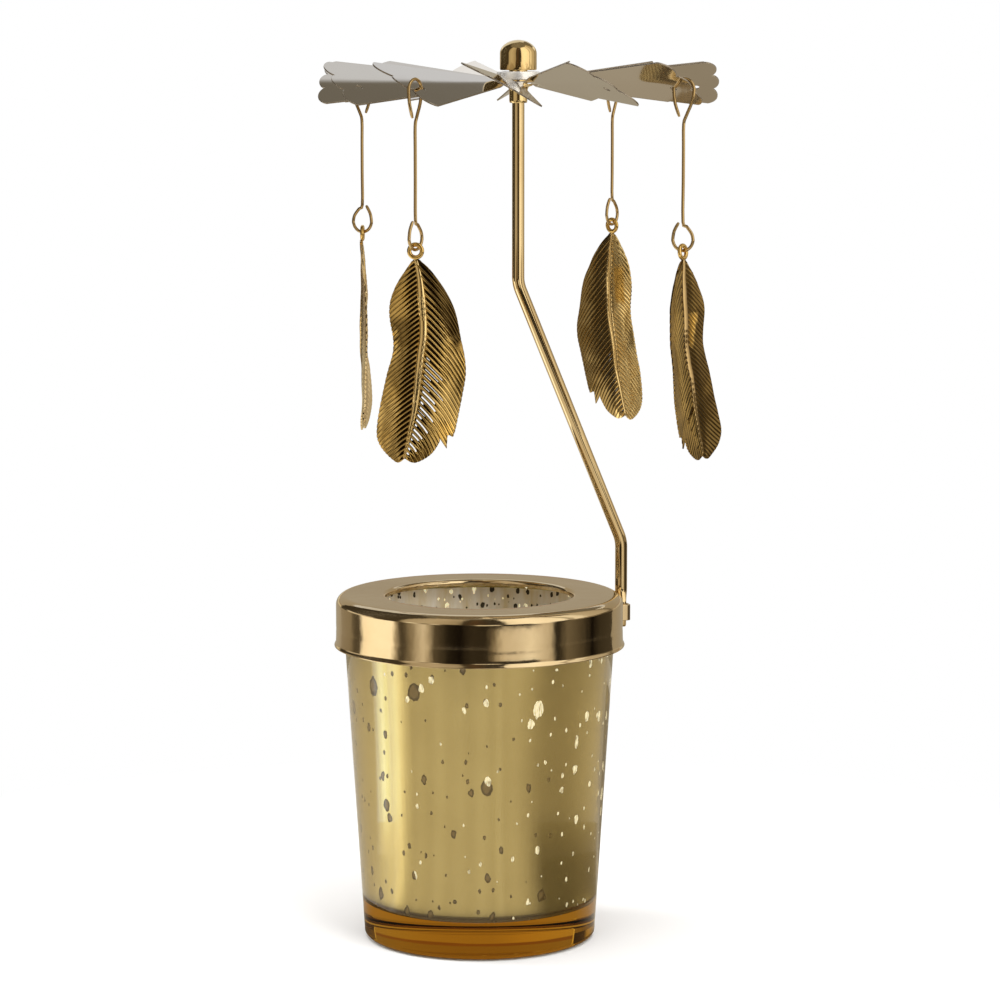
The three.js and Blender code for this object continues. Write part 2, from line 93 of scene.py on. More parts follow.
def spline(points, per_span):
    """Catmull-Rom points through the given points, ends included."""
    result = []
    last = len(points) - 1
    for i in range(last):
        p0, p1, p2, p3 = points[max(i - 1, 0)], points[i], points[i + 1], points[min(i + 2, last)]
        for step in range(per_span):
            t = step / per_span
            point = []
            for a, b, c, d in zip(p0, p1, p2, p3):
                v0 = (c - a) / 2
                v1 = (d - b) / 2
                point.append(
                    (2 * b - 2 * c + v0 + v1) * t**3 + (3 * c - 3 * b - 2 * v0 - v1) * t**2 + v0 * t + b
                )
            result.append(tuple(point))
    result.append(tuple(points[-1]))
    return result


def add_object(name, data):
    obj = bpy.data.objects.new(name, data)
    scene.collection.objects.link(obj)
    return obj


def make_object(name, vertices, faces, matrix=None, merge=0.0):
    """A mesh object from points in mm, with its faces turned outward and points closer than merge joined."""
    mesh = bpy.data.meshes.new(name)
    if matrix is not None:
        vertices = [matrix @ Vector(v) for v in vertices]
    mesh.from_pydata([tuple(c * MM for c in v) for v in vertices], [], faces)
    mesh.update()
    work = bmesh.new()
    work.from_mesh(mesh)
    if merge:
        bmesh.ops.remove_doubles(work, verts=work.verts, dist=merge * MM)
    bmesh.ops.recalc_face_normals(work, faces=work.faces)
    work.to_mesh(mesh)
    work.free()
    return add_object(name, mesh)


def bevel(obj, width, angle):
    modifier = obj.modifiers.new("edge", "BEVEL")
    modifier.width = width * MM
    modifier.segments = 2
    modifier.limit_method = "ANGLE"
    modifier.angle_limit = radians(angle)
    modifier.harden_normals = True


def settle(obj, angle, body, node, slot, *materials):
    """Shades a piece smooth up to an angle, gives it its materials, hangs it on its body and hides the
    imported part it stands in for.
    """
    obj.data.shade_smooth()
    obj.data.set_sharp_from_angle(angle=radians(angle))
    for material in materials:
        obj.data.materials.append(material)
    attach(obj, body)
    if node:
        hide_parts(node)


def turned(profile, segments, centre, closed=True):
    """Points and faces of a profile of (radius, height) turned about a vertical axis."""
    vertices = []
    faces = []
    count = len(profile)
    for i in range(segments):
        a = 2 * pi * i / segments
        j = (i + 1) % segments
        vertices += [(centre[0] + r * cos(a), centre[1] + r * sin(a), z) for r, z in profile]
        for k in range(count if closed else count - 1):
            m = (k + 1) % count
            if max(profile[k][0], profile[m][0]) >= ON_AXIS:
                faces.append((i * count + k, j * count + k, j * count + m, i * count + m))
    return vertices, faces


def lathe(name, profile, segments, centre=(0.0, 0.0), closed=True):
    return make_object(name, *turned(profile, segments, centre, closed), merge=0.0005)


def tube_faces(rings, sides):
    """Faces between rings of points that follow each other, with both ends closed."""
    faces = []
    for i in range(rings - 1):
        for k in range(sides):
            m = (k + 1) % sides
            faces.append((i * sides + k, i * sides + m, (i + 1) * sides + m, (i + 1) * sides + k))
    last = (rings - 1) * sides
    return faces + [tuple(range(sides)), tuple(range(last, last + sides))]


def sweep(name, path, section_at, sides, matrix=None):
    """A tube along points. Each has a section: two half-widths and how round it is, 1 being an ellipse."""
    points = [Vector(p) for p in path]
    neighbours = zip(points[:1] + points, points[1:] + points[-1:])
    tangents = [(ahead - behind).normalized() for behind, ahead in neighbours]
    side = Vector((0, 1, 0))
    vertices = []
    for i, (point, tangent) in enumerate(zip(points, tangents)):
        side = (side - tangent * side.dot(tangent)).normalized()
        up = tangent.cross(side)
        a, b, power = section_at(i)
        for k in range(sides):
            angle = 2 * pi * k / sides
            c, s = cos(angle), sin(angle)
            x = copysign(abs(c) ** power, c) * a
            y = copysign(abs(s) ** power, s) * b
            vertices.append(tuple(point + up * x + side * y))
    return make_object(name, vertices, tube_faces(len(points), sides), matrix)


class Nodes:
    """A short way to write the nodes of a material or of the world."""

    def __init__(self, name, world=False):
        self.owner = bpy.data.worlds.new(name) if world else bpy.data.materials.new(name)
        self.owner.use_nodes = True
        self.tree = self.owner.node_tree
        self.shader = self.tree.nodes["Background" if world else "Principled BSDF"]
        self.output = self.tree.nodes["World Output" if world else "Material Output"]

    def add(self, kind, links=None, **values):
        node = self.tree.nodes.new("ShaderNode" + kind)
        for key, value in values.items():
            setattr(node, key, value)
        for key, value in (links or {}).items():
            self.link(value, node.inputs[key])
        return node

    def link(self, value, socket):
        if isinstance(value, bpy.types.NodeSocket):
            self.tree.links.new(value, socket)
        elif socket.type == "RGBA":
            socket.default_value = (*value, 1.0)
        else:
            socket.default_value = value

    def set(self, **values):
        for key, value in values.items():
            self.link(value, self.shader.inputs[key.replace("_", " ")])

    def coordinates(self, scale, kind="Object"):
        return self.scaled(self.add("TexCoord").outputs[kind], scale)

    def noise(self, vector, scale, detail=4.0, roughness=0.55):
        links = {"Vector": vector, "Scale": scale, "Detail": detail, "Roughness": roughness}
        return self.add("TexNoise", links).outputs["Fac"]

    def ramp(self, value, *stops):
        node = self.add("ValToRGB", {"Fac": value})
        elements = node.color_ramp.elements
        while len(elements) < len(stops):
            elements.new(0.5)
        for element, (place, colour) in zip(elements, stops):
            element.position = place
            if isinstance(colour, (int, float)):
                colour = (colour, colour, colour)
            element.color = (*colour, 1.0)
        return node.outputs["Color"]

    def math(self, operation, a, b=0.0, c=0.0, clamp=False):
        node = self.add("Math", {0: a, 1: b, 2: c}, operation=operation, use_clamp=clamp)
        return node.outputs["Value"]

    def scaled(self, vector, scale):
        return self.add("Mapping", {"Vector": vector, "Scale": scale}).outputs["Vector"]

    def mix(self, share, a, b):
        return self.add("Mix", {"Factor": share, 6: a, 7: b}, data_type="RGBA").outputs[2]

    def bump(self, height, strength, distance):
        links = {"Height": height, "Strength": strength, "Distance": distance}
        self.set(Normal=self.add("Bump", links).outputs["Normal"])

    def glow(self, colour):
        """Makes the material plain light."""
        self.tree.nodes.remove(self.shader)
        light = self.add("Emission", {"Color": colour})
        self.link(light.outputs["Emission"], self.output.inputs["Surface"])


def gold_metal(name, pale, deep, rough, streak, wave_scale, wave_depth):
    """Plated metal: cloudy colour, fine streaks in its gloss and a slow unevenness of its surface."""
    m = Nodes(name)
    cloud = m.noise(m.coordinates((1, 1, 1)), 60.0, 5.0)
    fine = m.noise(m.coordinates(streak), 900.0, 3.0)
    m.set(Base_Color=m.ramp(cloud, (0.3, deep), (0.7, pale)), Metallic=1.0)
    m.set(Roughness=m.math("MULTIPLY_ADD", fine, rough * 0.7, rough * 0.65))
    m.bump(m.noise(m.coordinates((1, 1, 0.6)), wave_scale, 2.0), 1.0, wave_depth)
    return m.owner


def rotor_metal():
    """Thin mirror sheet with a little haze."""
    m = Nodes("champagne_sheet")
    cloud = m.noise(m.coordinates((1, 1, 1)), 35.0, 4.0)
    lines = m.noise(m.coordinates((1, 12, 1)), 300.0, 3.0)
    m.set(Base_Color=m.ramp(cloud, (0.3, (0.67, 0.61, 0.53)), (0.7, (0.71, 0.66, 0.58))), Metallic=1.0)
    m.set(Roughness=m.math("MULTIPLY_ADD", lines, 0.05, 0.03))
    m.bump(cloud, 1.0, 0.00002)
    return m.owner


def edge_metal():
    """The sheared edge of the sheet: duller than its faces, and darker, partly as rough cut metal and partly
    as painted shade along the edges.
    """
    m = Nodes("sheared_edge_with_painted_shade")
    lines = m.noise(m.coordinates((1, 1, 6)), 800.0, 3.0)
    m.set(Base_Color=m.ramp(lines, (0.3, (0.24, 0.2, 0.16)), (0.7, (0.4, 0.35, 0.28))), Metallic=1.0)
    m.set(Roughness=m.ramp(lines, (0.2, 0.35), (0.8, 0.5)))
    return m.owner


def washer_metal():
    """Pale turned metal with fine rings."""
    m = Nodes("pale_washer")
    rings = m.noise(m.coordinates((1, 1, 8)), 500.0, 3.0)
    m.set(Base_Color=m.ramp(rings, (0.3, (0.78, 0.77, 0.74)), (0.7, (0.88, 0.87, 0.85))), Metallic=0.7)
    m.set(Roughness=m.ramp(rings, (0.2, 0.26), (0.8, 0.4)))
    m.bump(rings, 0.05, 0.0002)
    return m.owner


def feather_metal(name, deep, pale):
    """Polished gold with painted shade in the grooves between the barbs, and in places painted shade,
    painted highlights and random tarnish.
    """
    m = Nodes(name)
    groove_shade = m.add("Attribute", attribute_name="groove_shade").outputs["Fac"]
    tarnish_and_painted_light = m.add("Attribute", attribute_name="tarnish_and_painted_light").outputs["Fac"]
    cloud = m.noise(m.coordinates((1, 1, 1)), 160.0, 4.0)
    gold = m.ramp(cloud, (0.3, deep), (0.7, pale))
    # Painted shade and random tarnish darken the gold; below zero it is painted toward a bright highlight
    # colour
    gold_with_painted_light = m.mix(tarnish_and_painted_light, gold, (0.13, 0.08, 0.025))
    gold_with_painted_light = m.mix(m.math("MULTIPLY", tarnish_and_painted_light, -1.0), gold_with_painted_light, (1.0, 0.62, 0.16))
    # The grooves get painted shade, near black
    m.set(Base_Color=m.mix(groove_shade, gold_with_painted_light, (0.012, 0.006, 0.002)), Metallic=1.0)
    m.set(Roughness=m.ramp(groove_shade, (0.0, 0.1), (1.0, 0.45)))
    return m.owner


def spots(m, uv, cell, share, size, seed):
    """Scattered drop-shaped spots: how far inside one a point lies, in mm, and a number for each spot."""
    shift = (seed * 3.1, seed * 7.7, 0.0)
    placed = m.add("Mapping", {"Vector": uv, "Location": shift, "Scale": (1.0, 0.62, 1.0)})
    placed = placed.outputs["Vector"]
    wobble = m.add("TexNoise", {"Vector": placed, "Scale": 0.9 / size, "Detail": 2.0})
    links = {0: wobble.outputs["Color"], "Scale": size * 1.1}
    push = m.add("VectorMath", links, operation="SCALE")
    moved = m.add("VectorMath", {0: placed, 1: push.outputs["Vector"]}, operation="ADD")
    links = {"Vector": moved.outputs["Vector"], "Scale": 1.0 / cell, "Randomness": 1.0}
    cells = m.add("TexVoronoi", links, voronoi_dimensions="2D")
    split = m.add("SeparateColor", {"Color": cells.outputs["Color"]})
    chosen = m.math("LESS_THAN", split.outputs["Red"], share)
    reach = m.math("MULTIPLY_ADD", split.outputs["Green"], size * 0.7, size * 0.3)
    reach = m.math("MULTIPLY", reach, chosen)
    away = m.math("MULTIPLY", cells.outputs["Distance"], cell)
    return m.math("SUBTRACT", reach, away), split.outputs["Blue"]


def film(name, pale, deep, rim, hollow, bright, sizes, rough, metal, glow, cloud_scale, lit_level):
    """The metal film on the glass, with drop-shaped places where it has been eaten away.

    Each of the sizes is a cell in mm, the share of cells with a spot, the spot's size and a seed.
    The lit level is the share of spots that let light through, which get painted light: a bright colour and
    a glow; its change across, value and change upward.
    """
    m = Nodes(name)
    uv = m.coordinates((1, 1, 1), "UV")
    cloud = m.noise(m.scaled(uv, cloud_scale), 1.0, 4.0)
    colour = m.mix(m.ramp(cloud, (0.35, 0.0), (0.7, 1.0)), deep, pale)
    place = m.add("SeparateXYZ", {"Vector": uv})
    across, value, upward = lit_level
    lit_share = m.math("MULTIPLY_ADD", place.outputs["X"], across, value - WRAP_MIDDLE * upward)
    lit_share = m.math("ADD", lit_share, m.math("MULTIPLY", place.outputs["Y"], upward))
    mottle = m.ramp(m.noise(m.scaled(uv, (2.2, 0.5, 1.0)), 1.0, 3.0), (0.36, 0.25), (0.54, 1.0))
    total = shining = 0.0
    for cell, share, size, seed in sizes:
        inside, pick = spots(m, uv, cell, share, size, seed)
        mask = m.math("MULTIPLY", m.math("ADD", inside, 0.03), 14.0, clamp=True)
        core = m.math("MULTIPLY", m.math("SUBTRACT", inside, size * 0.12), 3.2 / size, clamp=True)
        lit = m.math("MULTIPLY", m.math("LESS_THAN", pick, lit_share), mottle)
        colour = m.mix(mask, colour, m.mix(lit, m.mix(core, rim, hollow), bright))
        total = m.math("MAXIMUM", total, mask)
        shining = m.math("MAXIMUM", shining, m.math("MULTIPLY", lit, mask))
    m.set(Base_Color=colour, Roughness=rough, Metallic=m.math("MULTIPLY_ADD", total, -metal, metal))
    # Painted light: the lit spots glow with the bright colour
    m.set(Emission_Color=m.mix(shining, (0.0, 0.0, 0.0), bright), Emission_Strength=glow)
    relief = m.math("SUBTRACT", m.noise(m.scaled(uv, (0.55, 0.012, 1.0)), 1.0, 3.0), total)
    m.bump(relief, 1.0, 0.00002)
    return m.owner


def amber_glass():
    """Clear glass that turns amber where it is thick."""
    m = Nodes("amber_glass")
    m.set(Base_Color=(1.0, 0.985, 0.95), Roughness=0.015, IOR=1.5, Transmission_Weight=1.0)
    waves = m.noise(m.coordinates((1, 1, 0.35)), 45.0, 2.0)
    m.bump(waves, 0.035, 0.001)
    body = m.add("VolumeAbsorption", {"Color": (0.867, 0.678, 0.044), "Density": 78.0})
    m.link(body.outputs["Volume"], m.output.inputs["Volume"])
    return m.owner


# Plated metals: pale and deep colour, roughness, streaks, and the scale and depth of the surface's waves
GOLDS = {
    "lid_gold": ((0.78, 0.63, 0.40), (0.68, 0.52, 0.30), 0.09, (1, 1, 0.2), 230.0, 0.00005),
    "rod_gold": ((0.80, 0.63, 0.36), (0.70, 0.52, 0.27), 0.07, (1, 1, 0.1), 150.0, 0.00001),
    "hub_gold": ((0.88, 0.69, 0.36), (0.82, 0.60, 0.28), 0.08, (1, 1, 1), 330.0, 0.00007),
    "wire_gold": ((0.62, 0.45, 0.22), (0.5, 0.34, 0.15), 0.07, (1, 1, 0.2), 300.0, 0.000004),
    "quill_gold": ((0.95, 0.73, 0.37), (0.86, 0.62, 0.27), 0.16, (1, 1, 0.3), 300.0, 0.000004),
}
plated = [gold_metal(name, *look) for name, look in GOLDS.items()]
lid_gold, rod_gold, hub_gold, wire_gold, quill_gold = plated
champagne = rotor_metal()
edge_with_painted_shade = edge_metal()
pale_washer = washer_metal()
feather_gold = feather_metal("feather_gold", (0.70, 0.45, 0.13), (0.84, 0.58, 0.21))
# The pale and bright copies of the feather gold are painted light for the fourth and the third feather
feather_lit_pale = feather_metal("feather_lit_pale", (0.95, 0.72, 0.38), (1.0, 0.81, 0.49))
feather_lit_bright = feather_metal("feather_lit_bright", (0.93, 0.66, 0.26), (1.0, 0.78, 0.38))
PLATING = [feather_gold, feather_gold, feather_lit_bright, feather_lit_pale]
# The ribs take a brighter gold than their vanes as painted highlight, and the second rib the darker wire
# gold as painted shade
RIB_PLATING = [quill_gold, wire_gold, quill_gold, quill_gold]
glass = amber_glass()
gold_film = film(
    "gold_film",
    pale=(0.66, 0.58, 0.31),
    deep=(0.61, 0.53, 0.275),
    rim=(0.21, 0.15, 0.05),
    hollow=(0.5, 0.38, 0.17),
    bright=(1.0, 0.95, 0.72),
    sizes=((14.0, 0.6, 1.6, 1), (8.0, 0.8, 0.9, 2), (4.4, 0.65, 0.45, 3)),
    rough=0.13,
    metal=0.92,
    glow=0.8,
    cloud_scale=(0.05, 0.05, 1.0),
    lit_level=(0.016, 0.45, 0.004),
)
# The deep gold mixed through the silver in clouds is painted golden reflection
silver_film = film(
    "silver_film",
    pale=(1.0, 0.98, 0.93),
    deep=(0.80, 0.67, 0.42),
    rim=(0.03, 0.025, 0.02),
    hollow=(0.05, 0.04, 0.03),
    bright=(0.95, 0.85, 0.55),
    sizes=((5.0, 0.75, 0.9, 4), (3.0, 0.8, 0.55, 5), (2.0, 0.75, 0.32, 6)),
    rough=0.2,
    metal=0.3,
    glow=0.6,
    cloud_scale=(0.3, 0.06, 1.0),
    lit_level=(0.0, 0.35, 0.0),
)


def cup_outer(z):
    return CUP_FOOT + (CUP_RIM - CUP_FOOT) * z / CUP_HEIGHT


def cup_inner(z):
    return cup_outer(z) - CUP_WALL


def wrap_uv(obj):
    """Distance round the axis and height, in mm, as the surface's own coordinates."""
    layer = obj.data.uv_layers.new(name="wrap")
    for polygon in obj.data.polygons:
        centre = atan2(polygon.center.x, -polygon.center.y)
        for corner in polygon.loop_indices:
            v = obj.data.vertices[obj.data.loops[corner].vertex_index].co
            radius = hypot(v.x, v.y)
            angle = atan2(v.x, -v.y) if radius > ON_AXIS else centre
            angle -= 2 * pi * round((angle - centre) / (2 * pi))
            layer.data[corner].uv = (angle * WRAP_RADIUS, v.z / MM + radius / MM)


def make_cup():
    """The glass with its gold film, and the silver lining seen from above."""
    floor_round, foot_reach, foot_rise = 1.8, 2.6, 1.6
    lining_top, lining_gap, slack = 84.5, 0.12, 0.2
    wall = (8, 14, 22, 32, 42, 52, 62, 72, 80)
    rim = CUP_WALL / 2
    top = CUP_HEIGHT - rim
    corner = CUP_FLOOR + floor_round
    outer = [(0.0, 0.5), (21.0, 0.5), (23.5, 0.3), (25.0, 0.05), (25.6, 0.0)]
    foot = cup_outer(foot_rise) - foot_reach
    outer += [(foot + foot_reach * x, foot_rise + foot_rise * y) for x, y in arc(0, 0, 1.0, -90, 0, 10)]
    outer += [(cup_outer(z), z) for z in wall]
    outer += arc(cup_outer(top) - rim, top, rim, 0, 180, 14)
    inner = [(cup_inner(z), z) for z in reversed(wall[2:])]
    inner += arc(cup_inner(corner) - floor_round, corner, floor_round, 0, -90, 10)
    inner += [(16.0, CUP_FLOOR), (8.0, CUP_FLOOR), (0.0, CUP_FLOOR)]
    obj = lathe("glass_body", outer + inner, 192)
    wrap_uv(obj)
    settle(obj, 60, "glass", "glass_cup", "amber_glass", glass, gold_film)
    for polygon in obj.data.polygons:
        c = polygon.center / MM
        if hypot(c.x, c.y) < cup_inner(c.z) + slack and c.z > CUP_FLOOR - slack / 2:
            polygon.material_index = 1
    lining = [(cup_inner(lining_top) - lining_gap, lining_top)]
    lining += [(r - lining_gap, z + (lining_gap if z < corner else 0.0)) for r, z in inner if r > slack]
    lining += [(0.0, CUP_FLOOR + lining_gap)]
    sheet = lathe("silver_lining", lining, 192, closed=False)
    wrap_uv(sheet)
    settle(sheet, 60, "glass", None, "amber_glass", silver_film)


# The lid's skirt upward from its hem: flare past the lid's radius and rise, in mm
SKIRT = [
    (0.44, 0.0), (0.46, 0.12), (0.4, 0.3), (0.25, 0.55), (0.12, 0.8), (0.07, 1.2), (0.035, 1.9),
    (0.01, 2.8), (0.0, 3.6), (-0.035, 4.1), (-0.035, 4.6), (0.0, 5.1), (0.0, 6.0),
]


def make_lid():
    """Flared hem, creased skirt, round shoulder and a mouth turned down."""
    mouth_round, mouth_depth, shoulder = 1.0, 1.6, 2.5
    skirt = [(LID_RADIUS + flare, LID_TOP - LID_DEPTH + rise) for flare, rise in SKIRT]
    bend = (LID_RADIUS - shoulder, LID_TOP - shoulder)
    mouth = (MOUTH_RADIUS + mouth_round, LID_TOP - mouth_round)
    profile = skirt + arc(*bend, shoulder, 0, 90, 12)
    profile += [(31.0, LID_TOP - 0.02), (28.0, LID_TOP - 0.03)]
    profile += arc(*mouth, mouth_round, 90, 180, 8)
    profile += [(MOUTH_RADIUS, LID_TOP - mouth_depth), (MOUTH_RADIUS + LID_SHEET, LID_TOP - mouth_depth)]
    profile += arc(*mouth, mouth_round - LID_SHEET, 180, 90, 4)
    profile += arc(*bend, shoulder - LID_SHEET, 90, 0, 8)
    profile += [(r - LID_SHEET, z) for r, z in reversed(skirt)]
    obj = lathe("lid_form", profile, 224)
    settle(obj, 50, "lid", "lid_ring", "gold_metal", lid_gold)


def make_strap():
    """The strap on the skirt that takes the rod's tongue."""
    root, end, half, corner = 35.9, 39.95, 3.26, 1.2

    def outline(inset):
        """The strap from above, at a depth into its sheet."""
        right = arc(end - corner, corner - half, corner - inset, -90, 0, 8)
        left = arc(end - corner, half - corner, corner - inset, 0, 90, 8)
        return [(root, inset - half)] + right + left + [(root, half - inset)]

    outer = outline(0.0)
    low, high = STRAP_BOTTOM, STRAP_TOP
    vertices = []
    for (x, y), (u, v) in zip(outer, outline(LID_SHEET)):
        vertices += [(x, y, low), (u, v, low), (u, v, high), (x, y, high)]
    obj = make_object("lid_strap", vertices, tube_faces(len(outer), 4), ROD_TURN)
    bevel(obj, 0.14, 35)
    settle(obj, 35, "lid", None, "gold_metal", lid_gold)


def rod_section(z):
    """The rod's section at a height: a flat tongue below, round above, and a ground point."""
    point_length, point_radius, point_end = 5.0, 1.0, 0.05
    if z > MAST_END + 0.01:
        share = 1.0 if z < POINT_TIP - point_length + 0.1 else (POINT_TIP - z) / point_length
        radius = max(point_end, share * point_radius)
        return (radius, radius, 1.0)
    tongue = (0.8, 2.36, 0.45)
    t = smoothstep(83.8, 87.0, z)
    a, b, power = [flat + (full - flat) * t for flat, full in zip(tongue, (ROD_RADIUS, ROD_RADIUS, 1.0))]
    chamfer = smoothstep(77.6, 78.0, z)
    return (a * (0.75 + 0.25 * chamfer), b * (0.8 + 0.2 * chamfer), power)


def make_rod():
    """From the tongue in the strap up to the point under the cap."""
    bend_steps = 12
    corners = [(LEG_RADIUS, ROD_FOOT), (LEG_RADIUS, LOWER_BEND)]
    corners += [(MAST_RADIUS, UPPER_BEND), (MAST_RADIUS, MAST_END)]
    corners = [Vector(c) for c in corners]
    path = [(LEG_RADIUS, 0.0, z) for z in (ROD_FOOT, 77.85, 78.2, 80.0, 83.6, 84.2, 85.0, 85.8, 86.6, 87.4)]
    for before, here, after in zip(corners, corners[1:], corners[2:]):
        back = (before - here).normalized()
        ahead = (after - here).normalized()
        half = back.angle(ahead) / 2
        reach = ROD_BEND / tan(half)
        centre = here + (back + ahead).normalized() * (ROD_BEND / sin(half))
        start = here + back * reach - centre
        end = here + ahead * reach - centre
        for step in range(bend_steps + 1):
            spoke = start.slerp(end, step / bend_steps) * ROD_BEND
            path.append((centre.x + spoke.x, 0.0, centre.y + spoke.y))
    path += [(MAST_RADIUS, 0.0, z) for z in (180.0, 195.0, 208.0, MAST_END, MAST_END + 0.05)]
    path += [(MAST_RADIUS, 0.0, POINT_TIP - below) for below in (5.0, 2.0, 0.0)]
    obj = sweep("rod_form", path, lambda i: rod_section(path[i][2]), 32, ROD_TURN)
    settle(obj, 50, "mast", "support_rod", "gold_metal", rod_gold)


# The sleeve's outline from its bore round: radius, and height above its lower end
SLEEVE = [
    (1.87, 0.0), (2.1, 0.0), (2.2, 0.2), (2.27, 0.65), (2.29, 2.35), (2.35, 3.35), (2.62, 3.95),
    (3.3, 4.17), (3.55, 4.27), (3.6, 4.45), (3.55, 4.7), (2.29, 4.7), (2.29, 11.15), (1.87, 11.15),
]


def make_hub():
    """A sleeve below the rotor, with a washer and a domed cap above."""
    sleeve = [(r, SLEEVE_BOTTOM + rise) for r, rise in SLEEVE]
    obj = lathe("sleeve_form", sleeve, 64, MAST_XY)
    settle(obj, 30, "rotor", "hub_sleeve", "gold_metal", hub_gold)

    edge = 0.35
    rim = WASHER_RADIUS - edge
    washer = [(HUB_BORE, WASHER_BOTTOM), (rim, WASHER_BOTTOM)]
    washer += arc(rim, WASHER_BOTTOM + edge, edge, -90, 0, 5) + arc(rim, WASHER_TOP - edge, edge, 0, 90, 5)
    washer += [(HUB_BORE, WASHER_TOP)]
    obj = lathe("washer_form", washer, 96, MAST_XY)
    settle(obj, 40, "rotor", "hub_washer", "washer_metal", pale_washer)

    springing = CAP_TOP - DOME_RISE
    socket = 222.75
    cap = [(HUB_BORE, CAP_BOTTOM), (CAP_RADIUS - 0.25, CAP_BOTTOM), (CAP_RADIUS - 0.08, CAP_BOTTOM + 0.07)]
    cap += [(CAP_RADIUS, CAP_BOTTOM + 0.3), (CAP_RADIUS, 221.5)]
    cap += [(CAP_RADIUS * x, springing + DOME_RISE * y) for x, y in arc(0, 0, 1.0, 0, 90, 15)[:-1]]
    cap += [(0.0, CAP_TOP), (0.0, socket + 0.65), (HUB_BORE / 2, socket), (HUB_BORE, socket)]
    obj = lathe("cap_form", cap, 96, MAST_XY)
    settle(obj, 40, "rotor", "hub_cap", "gold_metal", hub_gold)


HALF_SPREAD = tan(radians(BLADE_SPREAD / 2))
LOBE_SPACING = 2 * ROTOR_RADIUS * HALF_SPREAD / (LOBES + CORNER_SHARE)


def edge_radius(across):
    """How far out a blade's lobed end lies at a distance across it."""
    index = min(LOBES - 1, max(0, round(across / LOBE_SPACING + (LOBES - 1) / 2)))
    centre = (index - (LOBES - 1) / 2) * LOBE_SPACING
    rise = sqrt(max(0.0, LOBE_RADIUS**2 - (across - centre) ** 2))
    return sqrt(ROTOR_RADIUS**2 - centre**2) - LOBE_RADIUS + rise


def blade_point(radius, across, side):
    """A place on a blade: pitched beyond the hub, with a soft fold along its middle."""
    share = smoothstep(ROTOR_HUB, ROTOR_HUB + TWIST_LENGTH, radius)
    pitch = radians(BLADE_PITCH) * share
    half = max(radius * HALF_SPREAD, 0.1)
    fold = 0.045 * share * half * (sqrt(0.03 + (across / half) ** 2) - 0.55)
    height = -fold + side * ROTOR_SHEET / 2
    y = across * cos(pitch) + height * sin(pitch)
    z = -across * sin(pitch) + height * cos(pitch)
    return (radius, y, z)


# Distances from the hub at which a blade has a row of points
BLADE_ROWS = [4.6, 5.6, 6.5, 7.2, 7.9, 8.6, 9.3, 10.0, 10.7, 11.4, 14.0, 18.0, 23.0, 28.0, 33.0, 38.0, 42.0]
TIP_ROWS = [44.0, 46.0]


def blade_plan():
    """A blade laid flat, with its lobed end and its hanger hole: points, and the faces between them."""
    tip_steps, hole_steps, hole_margin, edge_margin = 72, 20, 0.4, 0.8
    half = ROTOR_RADIUS * HALF_SPREAD
    loop = [(x, -x * HALF_SPREAD) for x in BLADE_ROWS]
    for i in range(tip_steps + 1):
        across = half * (2 * i / tip_steps - 1)
        r = edge_radius(across)
        loop.append((r, across * r / ROTOR_RADIUS))
    loop += [(x, x * HALF_SPREAD) for x in reversed(BLADE_ROWS)]
    reach = HOOK_RADIUS - LOOP_RADIUS
    turn = radians(HOOK_TURN)
    hole = (reach * cos(turn), reach * sin(turn) / cos(radians(BLADE_PITCH)))
    points = loop + arc(*hole, HOLE_RADIUS, 0, 360, hole_steps)[:-1]
    edges = [(i, (i + 1) % len(loop)) for i in range(len(loop))]
    edges += [(len(loop) + i, len(loop) + (i + 1) % hole_steps) for i in range(hole_steps)]
    for x in BLADE_ROWS[1:] + TIP_ROWS:
        for k in range(-9, 10):
            y = k / 10 * x * HALF_SPREAD
            clear = hypot(x - hole[0], y - hole[1]) > HOLE_RADIUS + hole_margin
            if clear and x < edge_radius(y * ROTOR_RADIUS / x) - edge_margin:
                points.append((x, y))
    result = delaunay_2d_cdt([Vector(p) for p in points], edges, [], 1, 1e-5)
    plan = result[0]
    kept = []
    for t in result[2]:
        cx = sum(plan[i].x for i in t) / len(t)
        cy = sum(plan[i].y for i in t) / len(t)
        if hypot(cx - hole[0], cy - hole[1]) > HOLE_RADIUS - 0.02:
            kept.append(tuple(t))
    return plan, kept


def make_rotor():
    """Pitched blades on a disc, with sheared edges in a darker material that is partly painted shade."""
    plan, kept = blade_plan()
    count = len(plan)
    sides = [(t[i], t[(i + 1) % len(t)]) for t in kept for i in range(len(t))]
    known = set(sides)
    faces = kept + [tuple(count + i for i in reversed(t)) for t in kept]
    faces += [(b, a, count + a, count + b) for a, b in sides if (b, a) not in known]
    vertices = []
    all_faces = []
    edge_faces = []
    for blade in range(BLADES):
        turn = radians(ROTOR_AZIMUTH + 360 * blade / BLADES)
        c, s = cos(turn), sin(turn)
        base = len(vertices)
        for side in (1, -1):
            for p in plan:
                x, y, z = blade_point(p.x, p.y, side)
                vertices.append((MAST_XY[0] + x * c - y * s, MAST_XY[1] + x * s + y * c, ROTOR_HEIGHT + z))
        edge_faces += range(len(all_faces) + 2 * len(kept), len(all_faces) + len(faces))
        all_faces += [tuple(base + i for i in f) for f in faces]
    disc = [(HUB_BORE, -0.24), (7.0, -0.24), (7.1, -0.1), (7.1, 0.1), (7.0, 0.24), (HUB_BORE, 0.24)]
    base = len(vertices)
    disc_points, disc_faces = turned([(r, ROTOR_HEIGHT + z) for r, z in disc], 96, MAST_XY)
    vertices += disc_points
    all_faces += [tuple(base + i for i in f) for f in disc_faces]
    obj = make_object("rotor_form", vertices, all_faces)
    bevel(obj, 0.08, 50)
    settle(obj, 30, "rotor", "rotor_fan", "rotor_metal", champagne, edge_with_painted_shade)
    for i in edge_faces:
        obj.data.polygons[i].material_index = 1


